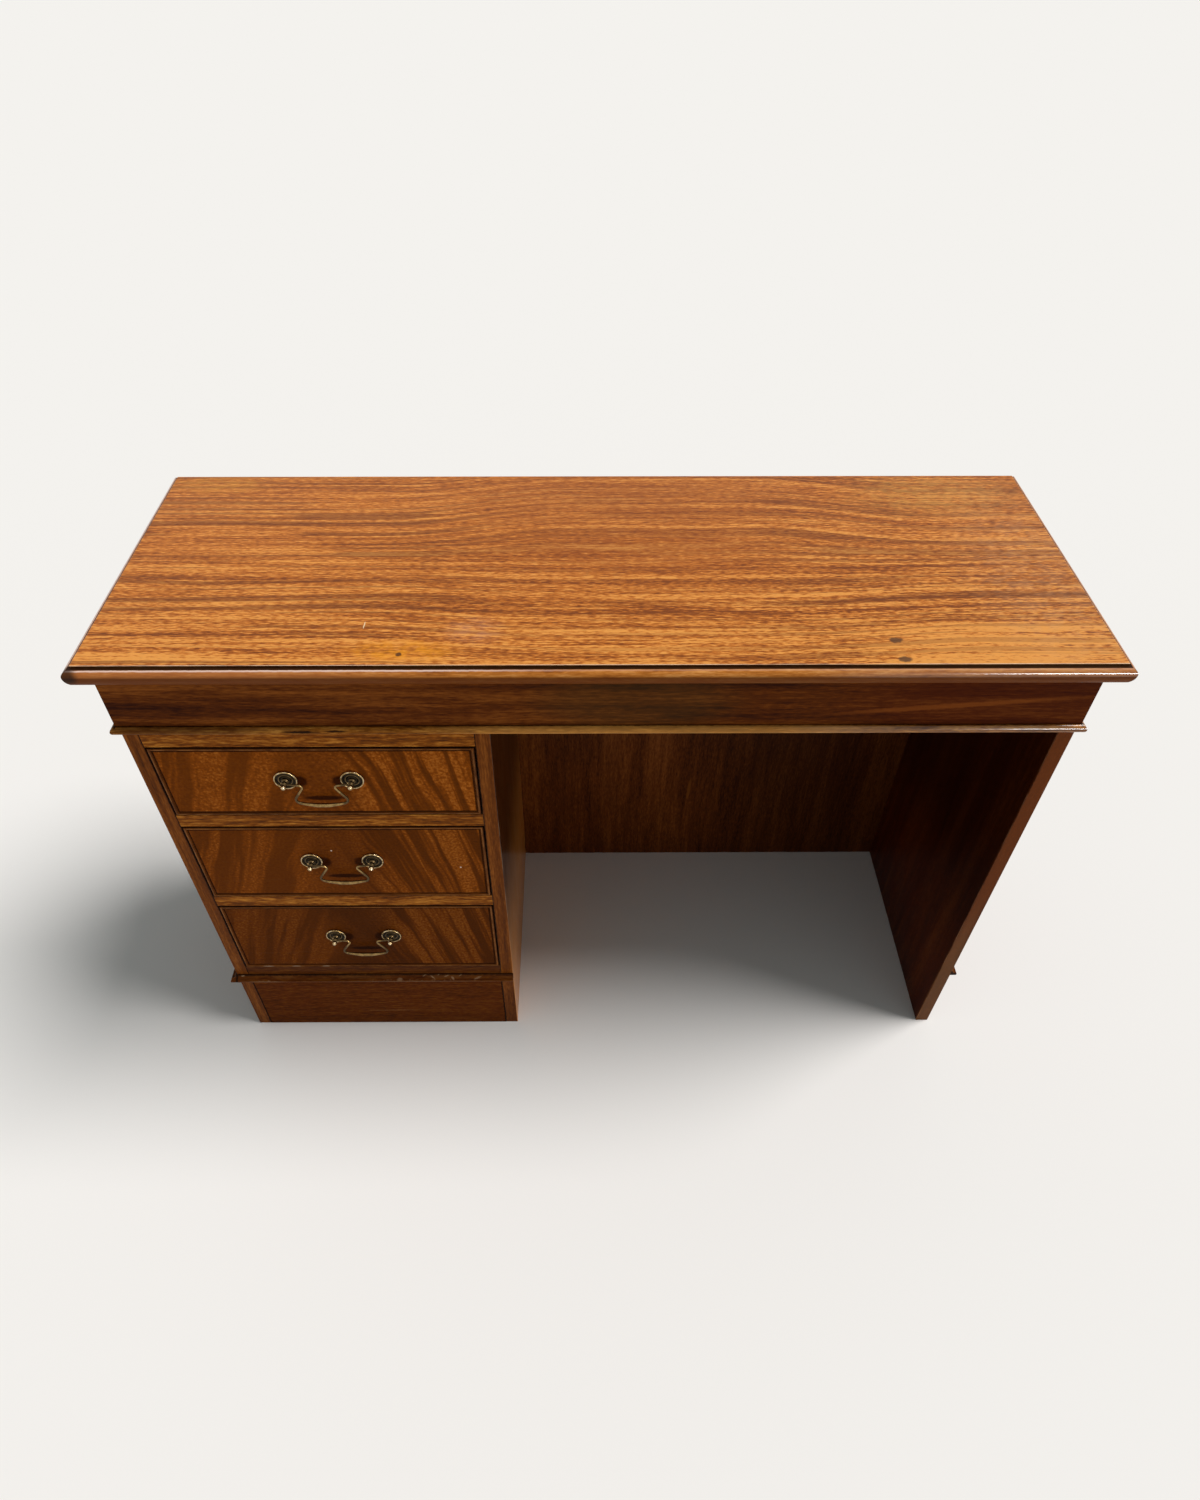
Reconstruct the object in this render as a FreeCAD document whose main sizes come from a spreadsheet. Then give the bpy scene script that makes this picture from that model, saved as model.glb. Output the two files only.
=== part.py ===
import FreeCAD, Part
import math
import os
import Sketcher
from FreeCAD import Placement, Rotation, Vector

# A mahogany writing desk: three drawers in a pedestal on the left, an open kneehole, and an end
# panel on the right. Lengths are in millimetres. X runs to the right, the front faces -Y, Z is up,
# and the origin is on the floor under the middle of the desk.

SIZES = {
    # Writing top
    "desk_height": 762.0,
    "top_length": 1126.0,
    "top_depth": 400.0,
    "top_thickness": 22.5,
    "top_easing": 0.9,
    "fillet_drop": 3.4,
    "quirk_width": 1.3,
    "moulding_reach": 8.5,
    "moulding_return": 4.0,
    "nose_drop": 10.0,
    # Frieze box and the bead rail under it
    "frieze_inset": 11.0,
    "frieze_height": 74.5,
    "frieze_thickness": 18.0,
    "bead_height": 11.0,
    "bead_reach": 5.8,
    # Pedestal, end panel and modesty panel
    "base_inset": 2.0,
    "panel_thickness": 19.0,
    "panel_easing": 0.8,
    "pedestal_width": 424.0,
    "back_thickness": 10.0,
    "modesty_thickness": 14.0,
    "housing_depth": 6.0,
    "bottom_board_thickness": 9.0,
    # Drawer rails, runners and stops
    "upper_rail_height": 24.5,
    "mid_rail_height": 21.5,
    "lower_rail_height": 20.5,
    "rail_depth": 60.0,
    "rail_easing": 0.4,
    "runner_width": 22.0,
    "stop_length": 32.0,
    "stop_depth": 14.0,
    "stop_height": 5.0,
    "stop_spacing": 190.0,
    # Plinth
    "plinth_height": 146.0,
    "plinth_thickness": 18.0,
    "plinth_moulding_height": 10.5,
    "plinth_moulding_reach": 9.0,
    "plinth_moulding_top": 1.0,
    "plinth_lip_height": 3.6,
    "plinth_lip_round": 1.5,
    # Drawers. The openings share the height left between the rails, the bottom one takes the rest
    "top_opening_share": 0.283,
    "middle_opening_share": 0.35,
    "reveal": 1.2,
    "running_gap": 0.3,
    "drawer_headroom": 2.0,
    "front_thickness": 19.0,
    "front_chamfer": 0.7,
    "cock_width": 4.5,
    "cock_depth": 10.0,
    "cock_proud": 1.4,
    "drawer_rear_gap": 22.0,
    "side_thickness": 9.0,
    "drawer_back_thickness": 9.0,
    "drawer_back_drop": 6.0,
    "drawer_bottom_thickness": 5.0,
    "drawer_bottom_raise": 9.0,
    "groove_depth": 4.5,
    "groove_fit": 0.2,
    # Swan-neck handles
    "handle_spacing": 80.5,
    "handle_raise": 5.3,
    "rose_radius": 14.5,
    "rose_rim_height": 3.0,
    "rose_rim_width": 2.2,
    "rose_dish_height": 1.1,
    "rose_ring_radius": 8.4,
    "rose_ring_height": 2.2,
    "rose_boss_radius": 5.4,
    "rose_boss_height": 2.9,
    "shank_radius": 2.5,
    "shank_fit": 0.1,
    "shank_length": 26.0,
    "collar_radius": 4.4,
    "collar_height": 1.3,
    "waist_radius": 2.7,
    "waist_height": 5.6,
    "eye_radius": 3.7,
    "neck_radius": 2.2,
    "ball_radius": 3.3,
    "ball_height": 14.3,
    "bail_standoff": 9.2,
    "pin_radius": 1.25,
    "pin_fit": 0.05,
    "pin_set_back": 0.4,
    "pin_length": 5.2,
    "bail_neck_half": 17.2,
    "bail_neck_drop": 2.2,
    "bail_neck_radius": 4.0,
    "bail_corner_half": 35.4,
    "bail_corner_drop": 30.6,
    "bail_corner_radius": 6.5,
    "bail_drop": 39.6,
    "bail_grip_radius": 90.0,
    "bail_taper_length": 9.0,
    "wire_radius": 1.6,
    "grip_radius": 2.9,
    "nut_across": 9.0,
    "nut_thickness": 4.0,
    # Blocks and screws that hold the top, and blocks in the plinth
    "block_side": 22.0,
    "block_length": 60.0,
    "block_end_gap": 80.0,
    "plinth_block_foot_gap": 26.0,
    "screw_radius": 2.0,
    "screw_head_radius": 4.0,
    "screw_head_height": 2.4,
    "screw_bite": 13.0,
    "screw_fit": 0.1,
    # How far a cutting shape runs past what it cuts
    "overrun": 5.0,
}

# Share of the bail's half length, out from its middle, over which the wire swells into the grip
GRIP_SWELL_SHARE = 0.42
# Most turn, in degrees, between one section of the bail and the next
BAIL_STEP = 10.0
# Two places closer than this are the same place
SAME = 1e-4

doc = FreeCAD.newDocument("writing_desk")
sheet = doc.addObject("Spreadsheet::Sheet", "dim")
nodes = []


def fill_sheet():
    """Writes each size into the sheet, with its name beside it as the alias."""
    for row, (name, size) in enumerate(SIZES.items(), 1):
        sheet.set(f"A{row}", name)
        sheet.set(f"B{row}", str(size))
        sheet.setAlias(f"B{row}", name)
    doc.recompute()


# Places worked out from the sizes. The base is what stands under the frieze.
FRIEZE_X = "(dim.top_length / 2 - dim.frieze_inset)"
FRIEZE_Y = "(dim.top_depth / 2 - dim.frieze_inset)"
BASE_X = f"({FRIEZE_X} - dim.base_inset)"
BASE_Y = f"({FRIEZE_Y} - dim.base_inset)"
TOP_UNDER = "(dim.desk_height - dim.top_thickness)"
FRIEZE_UNDER = f"({TOP_UNDER} - dim.frieze_height)"
BASE_TOP = f"({FRIEZE_UNDER} - dim.bead_height)"
WELL_LEFT = f"(dim.panel_thickness - {BASE_X})"
PEDESTAL_RIGHT = f"(dim.pedestal_width - {BASE_X})"
WELL_RIGHT = f"({PEDESTAL_RIGHT} - dim.panel_thickness)"
WELL_CENTRE = f"(dim.pedestal_width / 2 - {BASE_X})"
END_INNER = f"({BASE_X} - dim.panel_thickness)"
BACK_INNER = f"({BASE_Y} - dim.back_thickness)"
MODESTY_FACE = f"({BASE_Y} - dim.modesty_thickness)"
RAIL_REAR = f"(dim.rail_depth - {BASE_Y})"

# Floors and heights of the three drawer openings, from the top one down
RAILS = "(dim.upper_rail_height + 2 * dim.mid_rail_height + dim.lower_rail_height)"
CLEAR_HEIGHT = f"({BASE_TOP} - dim.plinth_height - {RAILS})"
TOP_OPENING = f"({CLEAR_HEIGHT} * dim.top_opening_share)"
MIDDLE_OPENING = f"({CLEAR_HEIGHT} * dim.middle_opening_share)"
BOTTOM_OPENING = f"({CLEAR_HEIGHT} - {TOP_OPENING} - {MIDDLE_OPENING})"
BOTTOM_FLOOR = "(dim.plinth_height + dim.lower_rail_height)"
MIDDLE_FLOOR = f"({BOTTOM_FLOOR} + {BOTTOM_OPENING} + dim.mid_rail_height)"
TOP_FLOOR = f"({MIDDLE_FLOOR} + {MIDDLE_OPENING} + dim.mid_rail_height)"

DRAWERS = (
    ("top_drawer", TOP_FLOOR, TOP_OPENING),
    ("middle_drawer", MIDDLE_FLOOR, MIDDLE_OPENING),
    ("bottom_drawer", BOTTOM_FLOOR, BOTTOM_OPENING),
)


# Helpers

def number(item, text):
    """The number that a formula of the sheet's sizes gives."""
    return float(item.evalExpression(text))


def keep(item):
    """Notes a finished piece, which is written to the file that its label names."""
    nodes.append(item)
    return item


def place(item, spot):
    for axis, text in zip("xyz", spot):
        item.setExpression(f"Placement.Base.{axis}", text)


def new_sketch(owner, role, depth):
    """A sketch on one of the body's own planes, moved along that plane's normal by depth."""
    item = owner.newObject("Sketcher::SketchObject", "Sketch")
    plane = next(feature for feature in owner.Origin.OriginFeatures if feature.Role == role)
    item.AttachmentSupport = [(plane, "")]
    item.MapMode = "FlatFace"
    item.setExpression("AttachmentOffset.Base.z", depth)
    return item


def pin(item, index, point, spot, texts):
    """Ties a point of the sketch to two formulas, measured from the sketch's origin."""
    for kind, size, text in zip(("DistanceX", "DistanceY"), spot, texts):
        rule = item.addConstraint(Sketcher.Constraint(kind, -1, 1, index, point, size))
        item.setExpression(f"Constraints[{rule}]", text)


def bow(start, finish, radius, bulge):
    """An arc from start to finish that bulges to the left of that way (1) or to the right (-1),
    with the numbers of its points that lie at start and at finish."""
    chord = finish - start
    rise = math.sqrt(max(radius ** 2 - (chord.Length / 2) ** 2, 0))
    left = Vector(-chord.y, chord.x, 0).normalize()
    centre = (start + finish) / 2 - left * (rise * bulge)
    first, last = (finish, start) if bulge > 0 else (start, finish)
    begin = math.atan2(first.y - centre.y, first.x - centre.x)
    end = math.atan2(last.y - centre.y, last.x - centre.x)
    if end < begin:
        end += 2 * math.pi
    arc = Part.ArcOfCircle(Part.Circle(centre, Vector(0, 0, 1), radius), begin, end)
    return arc, ((2, 1) if bulge > 0 else (1, 2))


def outline(item, corners, bows=None):
    """Draws a closed outline through the corners, which are pairs of formulas. bows gives the sides
    that are arcs: for the corner that a side leaves, its radius and the way it bulges."""
    bows = bows or {}
    spots = [Vector(number(item, u), number(item, v), 0) for u, v in corners]
    ends = []
    for index, start in enumerate(spots):
        finish = spots[(index + 1) % len(spots)]
        if index in bows:
            radius, bulge = bows[index]
            curve, points = bow(start, finish, number(item, radius), bulge)
        else:
            curve, points = Part.LineSegment(start, finish), (1, 2)
        item.addGeometry(curve, False)
        ends.append(points)
    for index, spot in enumerate(spots):
        before = (index - 1) % len(spots)
        item.addConstraint(
            Sketcher.Constraint("Coincident", before, ends[before][1], index, ends[index][0]))
        pin(item, index, ends[index][0], (spot.x, spot.y), corners[index])
        if index in bows:
            radius = bows[index][0]
            rule = item.addConstraint(Sketcher.Constraint("Radius", index, number(item, radius)))
            item.setExpression(f"Constraints[{rule}]", radius)


def circle(item, index, centre, radius):
    spot = [number(item, text) for text in centre]
    item.addGeometry(Part.Circle(Vector(*spot, 0), Vector(0, 0, 1), number(item, radius)), False)
    pin(item, index, 3, spot, centre)
    rule = item.addConstraint(Sketcher.Constraint("Radius", index, number(item, radius)))
    item.setExpression(f"Constraints[{rule}]", radius)


def pad(owner, item, length):
    feature = owner.newObject("PartDesign::Pad", "Pad")
    feature.Profile = item
    feature.setExpression("Length", length)


def pocket(owner, item, length=None):
    """Cuts the sketch's shape along the plane's normal, or both ways through all."""
    feature = owner.newObject("PartDesign::Pocket", "Pocket")
    feature.Profile = item
    if length is None:
        feature.Type = "ThroughAll"
        feature.SideType = "Symmetric"
    else:
        feature.Reversed = True
        feature.setExpression("Length", length)


def flat_sketch(owner, low, high):
    """A level rectangle between two corners, at the height of the lower one."""
    item = new_sketch(owner, "XY_Plane", low[2])
    outline(item, [(low[0], low[1]), (high[0], low[1]), (high[0], high[1]), (low[0], high[1])])
    return item


def add_block(owner, low, high):
    pad(owner, flat_sketch(owner, low, high), f"({high[2]}) - ({low[2]})")


def cut_block(owner, low, high):
    pocket(owner, flat_sketch(owner, low, high), f"({high[2]}) - ({low[2]})")


def board(label, low, high):
    """A squared board as a body of its own, to be worked further."""
    owner = doc.addObject("PartDesign::Body", label)
    add_block(owner, low, high)
    return owner


def edges_facing(shape, side):
    """The names of the edges that lie in the outermost face on one side."""
    reach = max(vertex.Point.dot(side) for vertex in shape.Vertexes)
    names = []
    for count, edge in enumerate(shape.Edges, 1):
        if all(reach - vertex.Point.dot(side) < SAME for vertex in edge.Vertexes):
            names.append(f"Edge{count}")
    return names


def dress(owner, kind, size_name, size, side):
    """Rounds or chamfers the edges around the face on one side."""
    doc.recompute()
    base = owner.Tip
    feature = owner.newObject(f"PartDesign::{kind}", kind)
    feature.Base = (base, edges_facing(base.Shape, side))
    feature.setExpression(size_name, size)


def ease(owner, size, side):
    dress(owner, "Fillet", "Radius", size, side)


def box(label, low, high):
    """A plain squared piece."""
    item = doc.addObject("Part::Box", label)
    for name, start, finish in zip(("Length", "Width", "Height"), low, high):
        item.setExpression(name, f"({finish}) - ({start})")
    place(item, low)
    return item


def group(label, members):
    """Alike pieces that share one node."""
    item = doc.addObject("Part::Compound", label)
    item.Links = members
    return item


def rod(label, radius, length, spot, turn):
    """A round bar that starts at spot and runs along Z, once turned."""
    item = doc.addObject("Part::Cylinder", label)
    item.setExpression("Radius", radius)
    item.setExpression("Height", length)
    item.Placement = Placement(Vector(), turn)
    place(item, spot)
    return item


def cut(label, base, tools):
    item = doc.addObject("Part::Cut", label)
    item.Base = base
    item.Tool = group(f"{label}_tools", tools)
    return item


def mirrored_pair(label, item):
    """A piece and its mirror image on the other side of the pedestal's middle."""
    twin = doc.addObject("Part::Mirroring", f"{label}_twin")
    twin.Source = item
    twin.Normal = Vector(1, 0, 0)
    twin.setExpression("Base.x", WELL_CENTRE)
    return group(label, [item, twin])


def strip(label, corners, bows, span, mitres, depth, spot, turn):
    """A strip of one section. In its own frame it lies along X against a wall at Y = 0 and stands
    out towards -Y. corners are pairs (how far out, how far up), span is where it starts and ends
    at the wall, mitres says which ends are cut at 45 degrees, and depth is how far it reaches out
    and in from the wall."""
    owner = doc.addObject("PartDesign::Body", label)
    out, inward = depth
    past = f"(({out}) + dim.overrun)"
    behind = f"(({inward}) + dim.overrun)"
    start = f"({span[0]})" + (f" - ({out})" if mitres[0] else "")
    finish = f"({span[1]})" + (f" + ({out})" if mitres[1] else "")
    section = new_sketch(owner, "YZ_Plane", start)
    outline(section, [(f"-({away})", up) for away, up in corners], bows)
    pad(owner, section, f"({finish}) - ({start})")
    for end, mitred, sign in ((span[0], mitres[0], "-"), (span[1], mitres[1], "+")):
        if mitred:
            corner = new_sketch(owner, "XY_Plane", "0")
            outline(corner, [
                (f"({end}) {sign} {past}", f"-{past}"),
                (f"({end}) {sign} {past}", behind),
                (f"({end}) - ({sign}1) * {behind}", behind)])
            pocket(owner, corner)
    owner.Placement = Placement(Vector(), turn)
    place(owner, spot)
    return owner


def four_sides(stem, corners, bows, half_x, half_y, height, depth):
    """Four mitred strips round a rectangle: front, back, left and right."""
    sides = (
        ("front", half_x, ("0", f"-{half_y}"), 0),
        ("back", half_x, ("0", half_y), 180),
        ("left", half_y, (f"-{half_x}", "0"), -90),
        ("right", half_y, (half_x, "0"), 90))
    for side, half, (wall_x, wall_y), angle in sides:
        keep(strip(f"{stem}_{side}", corners, bows, (f"-{half}", half), (True, True), depth,
                   (wall_x, wall_y, height), Rotation(Vector(0, 0, 1), angle)))


# Writing top: the board's own edge stands up as a small square fillet, and under it the thumb
# moulding swells out and returns to a flat underside

def screw_places():
    """Where the screws go up into the top: three behind each long frieze."""
    reach = f"({FRIEZE_X} - dim.frieze_thickness - dim.block_end_gap)"
    rear = f"({FRIEZE_Y} - dim.frieze_thickness - dim.block_side / 2)"
    return [(x, y) for y in (f"-{rear}", rear) for x in (f"-{reach}", "0", reach)]


def make_top():
    low = ("-dim.top_length / 2", "-dim.top_depth / 2", TOP_UNDER)
    high = ("dim.top_length / 2", "dim.top_depth / 2", "dim.desk_height")
    top = keep(board("top_board", low, high))
    holes = new_sketch(top, "XY_Plane", TOP_UNDER)
    for index, centre in enumerate(screw_places()):
        circle(holes, index, centre, "dim.screw_radius + dim.screw_fit")
    pocket(top, holes, "dim.screw_bite + dim.screw_fit")
    ease(top, "dim.top_easing", Vector(0, 0, 1))

    under = "dim.fillet_drop - dim.top_thickness"
    nose = "dim.fillet_drop - dim.nose_drop"
    low_rise = "(dim.top_thickness - dim.nose_drop)"
    low_arc = f"({low_rise} ^ 2 + dim.moulding_return ^ 2) / (2 * dim.moulding_return)"
    thumb_out = "(dim.moulding_reach - dim.quirk_width)"
    thumb_rise = "(dim.nose_drop - dim.fillet_drop)"
    thumb_arc = f"({thumb_rise} ^ 2 + {thumb_out} ^ 2) / (2 * max({thumb_out}; {thumb_rise}))"
    corners = (
        ("0", under),
        ("dim.moulding_reach - dim.moulding_return", under),
        ("dim.moulding_reach", nose),
        ("dim.quirk_width", "0"),
        ("0", "0"))
    four_sides("top_moulding", corners, {1: (low_arc, 1), 2: (thumb_arc, 1)},
               "(dim.top_length / 2)", "(dim.top_depth / 2)",
               "dim.desk_height - dim.fillet_drop", ("dim.moulding_reach", "0"))


# Frieze: four mitred boards, and the bead rail that closes their lower edge

def make_frieze():
    corners = (
        ("-dim.frieze_thickness", "0"), ("0", "0"),
        ("0", "dim.frieze_height"), ("-dim.frieze_thickness", "dim.frieze_height"))
    four_sides("frieze", corners, {}, FRIEZE_X, FRIEZE_Y, FRIEZE_UNDER,
               ("0", "dim.frieze_thickness"))
    flat = "dim.bead_reach - dim.bead_height / 2"
    corners = (
        ("-dim.frieze_thickness", "0"), (flat, "0"), ("dim.bead_reach", "dim.bead_height / 2"),
        (flat, "dim.bead_height"), ("-dim.frieze_thickness", "dim.bead_height"))
    round_over = ("dim.bead_height / 2", 1)
    four_sides("frieze_bead", corners, {1: round_over, 2: round_over}, FRIEZE_X, FRIEZE_Y, BASE_TOP,
               ("dim.bead_reach", "dim.frieze_thickness"))


# Upright panels, rebated at the back for the boards that close the desk there

def rebate(owner, left, right, front):
    cut_block(owner, (left, front, "-dim.overrun"),
              (right, f"{BASE_Y} + dim.overrun", f"{TOP_UNDER} + dim.overrun"))


def make_panels():
    outer = keep(board("pedestal_outer_side", (f"-{BASE_X}", f"-{BASE_Y}", "0"),
                       (WELL_LEFT, BASE_Y, BASE_TOP)))
    rebate(outer, f"{WELL_LEFT} - dim.housing_depth", f"{WELL_LEFT} + dim.overrun", BACK_INNER)
    ease(outer, "dim.panel_easing", Vector(0, -1, 0))

    # The inner side rises between the long friezes and meets the top
    inner = keep(doc.addObject("PartDesign::Body", "pedestal_inner_side"))
    face = new_sketch(inner, "YZ_Plane", WELL_RIGHT)
    tongue = f"({FRIEZE_Y} - dim.frieze_thickness)"
    outline(face, [
        (f"-{BASE_Y}", "0"), (BASE_Y, "0"), (BASE_Y, BASE_TOP), (tongue, BASE_TOP),
        (tongue, TOP_UNDER), (f"-{tongue}", TOP_UNDER), (f"-{tongue}", BASE_TOP),
        (f"-{BASE_Y}", BASE_TOP)])
    pad(inner, face, "dim.panel_thickness")
    rebate(inner, f"{WELL_RIGHT} - dim.overrun", f"{WELL_RIGHT} + dim.housing_depth", BACK_INNER)
    rebate(inner, f"{PEDESTAL_RIGHT} - dim.housing_depth", f"{PEDESTAL_RIGHT} + dim.overrun",
           MODESTY_FACE)
    ease(inner, "dim.panel_easing", Vector(0, -1, 0))

    end = keep(board("end_panel", (END_INNER, f"-{BASE_Y}", "0"), (BASE_X, BASE_Y, BASE_TOP)))
    rebate(end, f"{END_INNER} - dim.overrun", f"{END_INNER} + dim.housing_depth", MODESTY_FACE)
    ease(end, "dim.panel_easing", Vector(0, -1, 0))

    keep(box("modesty_panel", (f"{PEDESTAL_RIGHT} - dim.housing_depth", MODESTY_FACE, "0"),
             (f"{END_INNER} + dim.housing_depth", BASE_Y, BASE_TOP)))
    keep(box("pedestal_back", (f"{WELL_LEFT} - dim.housing_depth", BACK_INNER, "0"),
             (f"{WELL_RIGHT} + dim.housing_depth", BASE_Y, BASE_TOP)))


# Front rails of the drawer openings, and what the drawers run on behind them

def rail(label, floor, height):
    """A front rail whose top is the floor of an opening."""
    item = board(label, (WELL_LEFT, f"-{BASE_Y}", f"{floor} - {height}"),
                 (WELL_RIGHT, RAIL_REAR, floor))
    ease(item, "dim.rail_easing", Vector(0, -1, 0))
    return item


def make_rails():
    keep(rail("upper_rail", BASE_TOP, "dim.upper_rail_height"))
    keep(group("mid_rails", [
        rail("top_mid_rail", TOP_FLOOR, "dim.mid_rail_height"),
        rail("bottom_mid_rail", MIDDLE_FLOOR, "dim.mid_rail_height")]))
    keep(rail("lower_rail", BOTTOM_FLOOR, "dim.lower_rail_height"))

    levels = (
        ("kicker", BASE_TOP, "dim.upper_rail_height"),
        ("top_runner", TOP_FLOOR, "dim.mid_rail_height"),
        ("middle_runner", MIDDLE_FLOOR, "dim.mid_rail_height"),
        ("bottom_runner", BOTTOM_FLOOR, "dim.lower_rail_height"))
    sides = (
        ("left", WELL_LEFT, f"{WELL_LEFT} + dim.runner_width"),
        ("right", f"{WELL_RIGHT} - dim.runner_width", WELL_RIGHT))
    keep(group("drawer_runners", [
        box(f"{stem}_{side}", (low, RAIL_REAR, f"{level} - {height}"), (high, BACK_INNER, level))
        for stem, level, height in levels for side, low, high in sides]))

    stops = []
    stop_face = f"(dim.front_thickness + dim.running_gap - {BASE_Y})"
    for stem, floor, _ in DRAWERS:
        for side, sign in (("left", "-"), ("right", "+")):
            middle = f"({WELL_CENTRE} {sign} dim.stop_spacing / 2)"
            stops.append(box(
                f"{stem}_stop_{side}",
                (f"{middle} - dim.stop_length / 2", stop_face, floor),
                (f"{middle} + dim.stop_length / 2", f"{stop_face} + dim.stop_depth",
                 f"{floor} + dim.stop_height")))
    keep(group("drawer_stops", stops))


# Plinth and its planted moulding: a cove over a rounded lip

def make_plinth():
    keep(box("plinth_board", (WELL_LEFT, f"-{BASE_Y}", "0"),
             (WELL_RIGHT, f"dim.plinth_thickness - {BASE_Y}", "dim.plinth_height")))
    keep(box("pedestal_bottom_board",
             (WELL_LEFT, f"dim.plinth_thickness - {BASE_Y}",
              "dim.plinth_height - dim.bottom_board_thickness"),
             (WELL_RIGHT, BACK_INNER, "dim.plinth_height")))

    corners = (
        ("0", "0"),
        ("dim.plinth_moulding_reach - dim.plinth_lip_round", "0"),
        ("dim.plinth_moulding_reach", "dim.plinth_lip_round"),
        ("dim.plinth_moulding_reach", "dim.plinth_lip_height"),
        ("dim.plinth_moulding_top", "dim.plinth_moulding_height"),
        ("0", "dim.plinth_moulding_height"))
    cove_out = "(dim.plinth_moulding_reach - dim.plinth_moulding_top)"
    cove_up = "(dim.plinth_moulding_height - dim.plinth_lip_height)"
    cove_arc = f"sqrt(({cove_out} ^ 2 + {cove_up} ^ 2) / 2)"
    bows = {1: ("dim.plinth_lip_round", 1), 3: (cove_arc, -1)}
    depth = ("dim.plinth_moulding_reach", "0")
    base = "dim.plinth_height - dim.plinth_moulding_height"
    keep(strip("plinth_moulding_front", corners, bows, (f"-{BASE_X}", PEDESTAL_RIGHT),
               (True, False), depth, ("0", f"-{BASE_Y}", base), Rotation()))
    keep(strip("plinth_moulding_left", corners, bows, (f"-{BASE_Y}", BASE_Y),
               (False, True), depth, (f"-{BASE_X}", "0", base), Rotation(Vector(0, 0, 1), -90)))
    keep(strip("plinth_moulding_end", corners, bows, (f"-{BASE_Y}", BASE_Y),
               (False, False), depth, (BASE_X, "0", base), Rotation(Vector(0, 0, 1), 90)))


# Glue blocks, and the screws that come up through them into the top

def make_screw(label, centre):
    """A countersunk wood screw, head down, with its head flush in the block's underside."""
    x, y = centre
    under = f"({TOP_UNDER} - dim.block_side)"
    head = doc.addObject("Part::Cone", f"{label}_head")
    head.setExpression("Radius1", "dim.screw_head_radius")
    head.setExpression("Radius2", "dim.screw_radius")
    head.setExpression("Height", "dim.screw_head_height")
    place(head, (x, y, under))
    shank = rod(f"{label}_shank", "dim.screw_radius",
                "dim.block_side + dim.screw_bite - dim.screw_head_height",
                (x, y, f"{under} + dim.screw_head_height"), Rotation())
    screw = doc.addObject("Part::Fuse", label)
    screw.Base = head
    screw.Tool = shank
    return screw


def make_block(label, centre):
    """A glue block under the top, bored and countersunk for its screw."""
    x, y = centre
    under = f"({TOP_UNDER} - dim.block_side)"
    wood = box(f"{label}_wood",
               (f"{x} - dim.block_length / 2", f"{y} - dim.block_side / 2", under),
               (f"{x} + dim.block_length / 2", f"{y} + dim.block_side / 2", TOP_UNDER))
    bore = rod(f"{label}_bore", "dim.screw_radius + dim.screw_fit",
               "dim.block_side + 2 * dim.overrun", (x, y, f"{under} - dim.overrun"), Rotation())
    seat = doc.addObject("Part::Cone", f"{label}_seat")
    seat.setExpression("Radius1", "dim.screw_head_radius + dim.screw_fit")
    seat.setExpression("Radius2", "dim.screw_radius + dim.screw_fit")
    seat.setExpression("Height", "dim.screw_head_height")
    place(seat, (x, y, under))
    return cut(label, wood, [bore, seat])


def make_fixings():
    places = list(enumerate(screw_places(), 1))
    blocks = [make_block(f"top_block_{count}", centre) for count, centre in places]
    behind = f"(dim.plinth_thickness - {BASE_Y})"
    base = "(dim.plinth_height - dim.bottom_board_thickness)"
    for side, low, high in (
            ("left", WELL_LEFT, f"{WELL_LEFT} + dim.block_side"),
            ("right", f"{WELL_RIGHT} - dim.block_side", WELL_RIGHT)):
        blocks.append(box(f"plinth_block_{side}", (low, behind, "dim.plinth_block_foot_gap"),
                          (high, f"{behind} + dim.block_side", base)))
    keep(group("glue_blocks", blocks))
    keep(group("top_fixing_screws", [make_screw(f"screw_{count}", centre) for count, centre in places]))


# Drawers: a veneered front with a cock bead let into its edges, sides lapped into the front, and a
# thin bottom in grooves

def handle_height(floor, opening):
    """The handle sits a little above the middle of its drawer."""
    return f"({floor} + {opening} / 2 + dim.handle_raise)"


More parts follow.
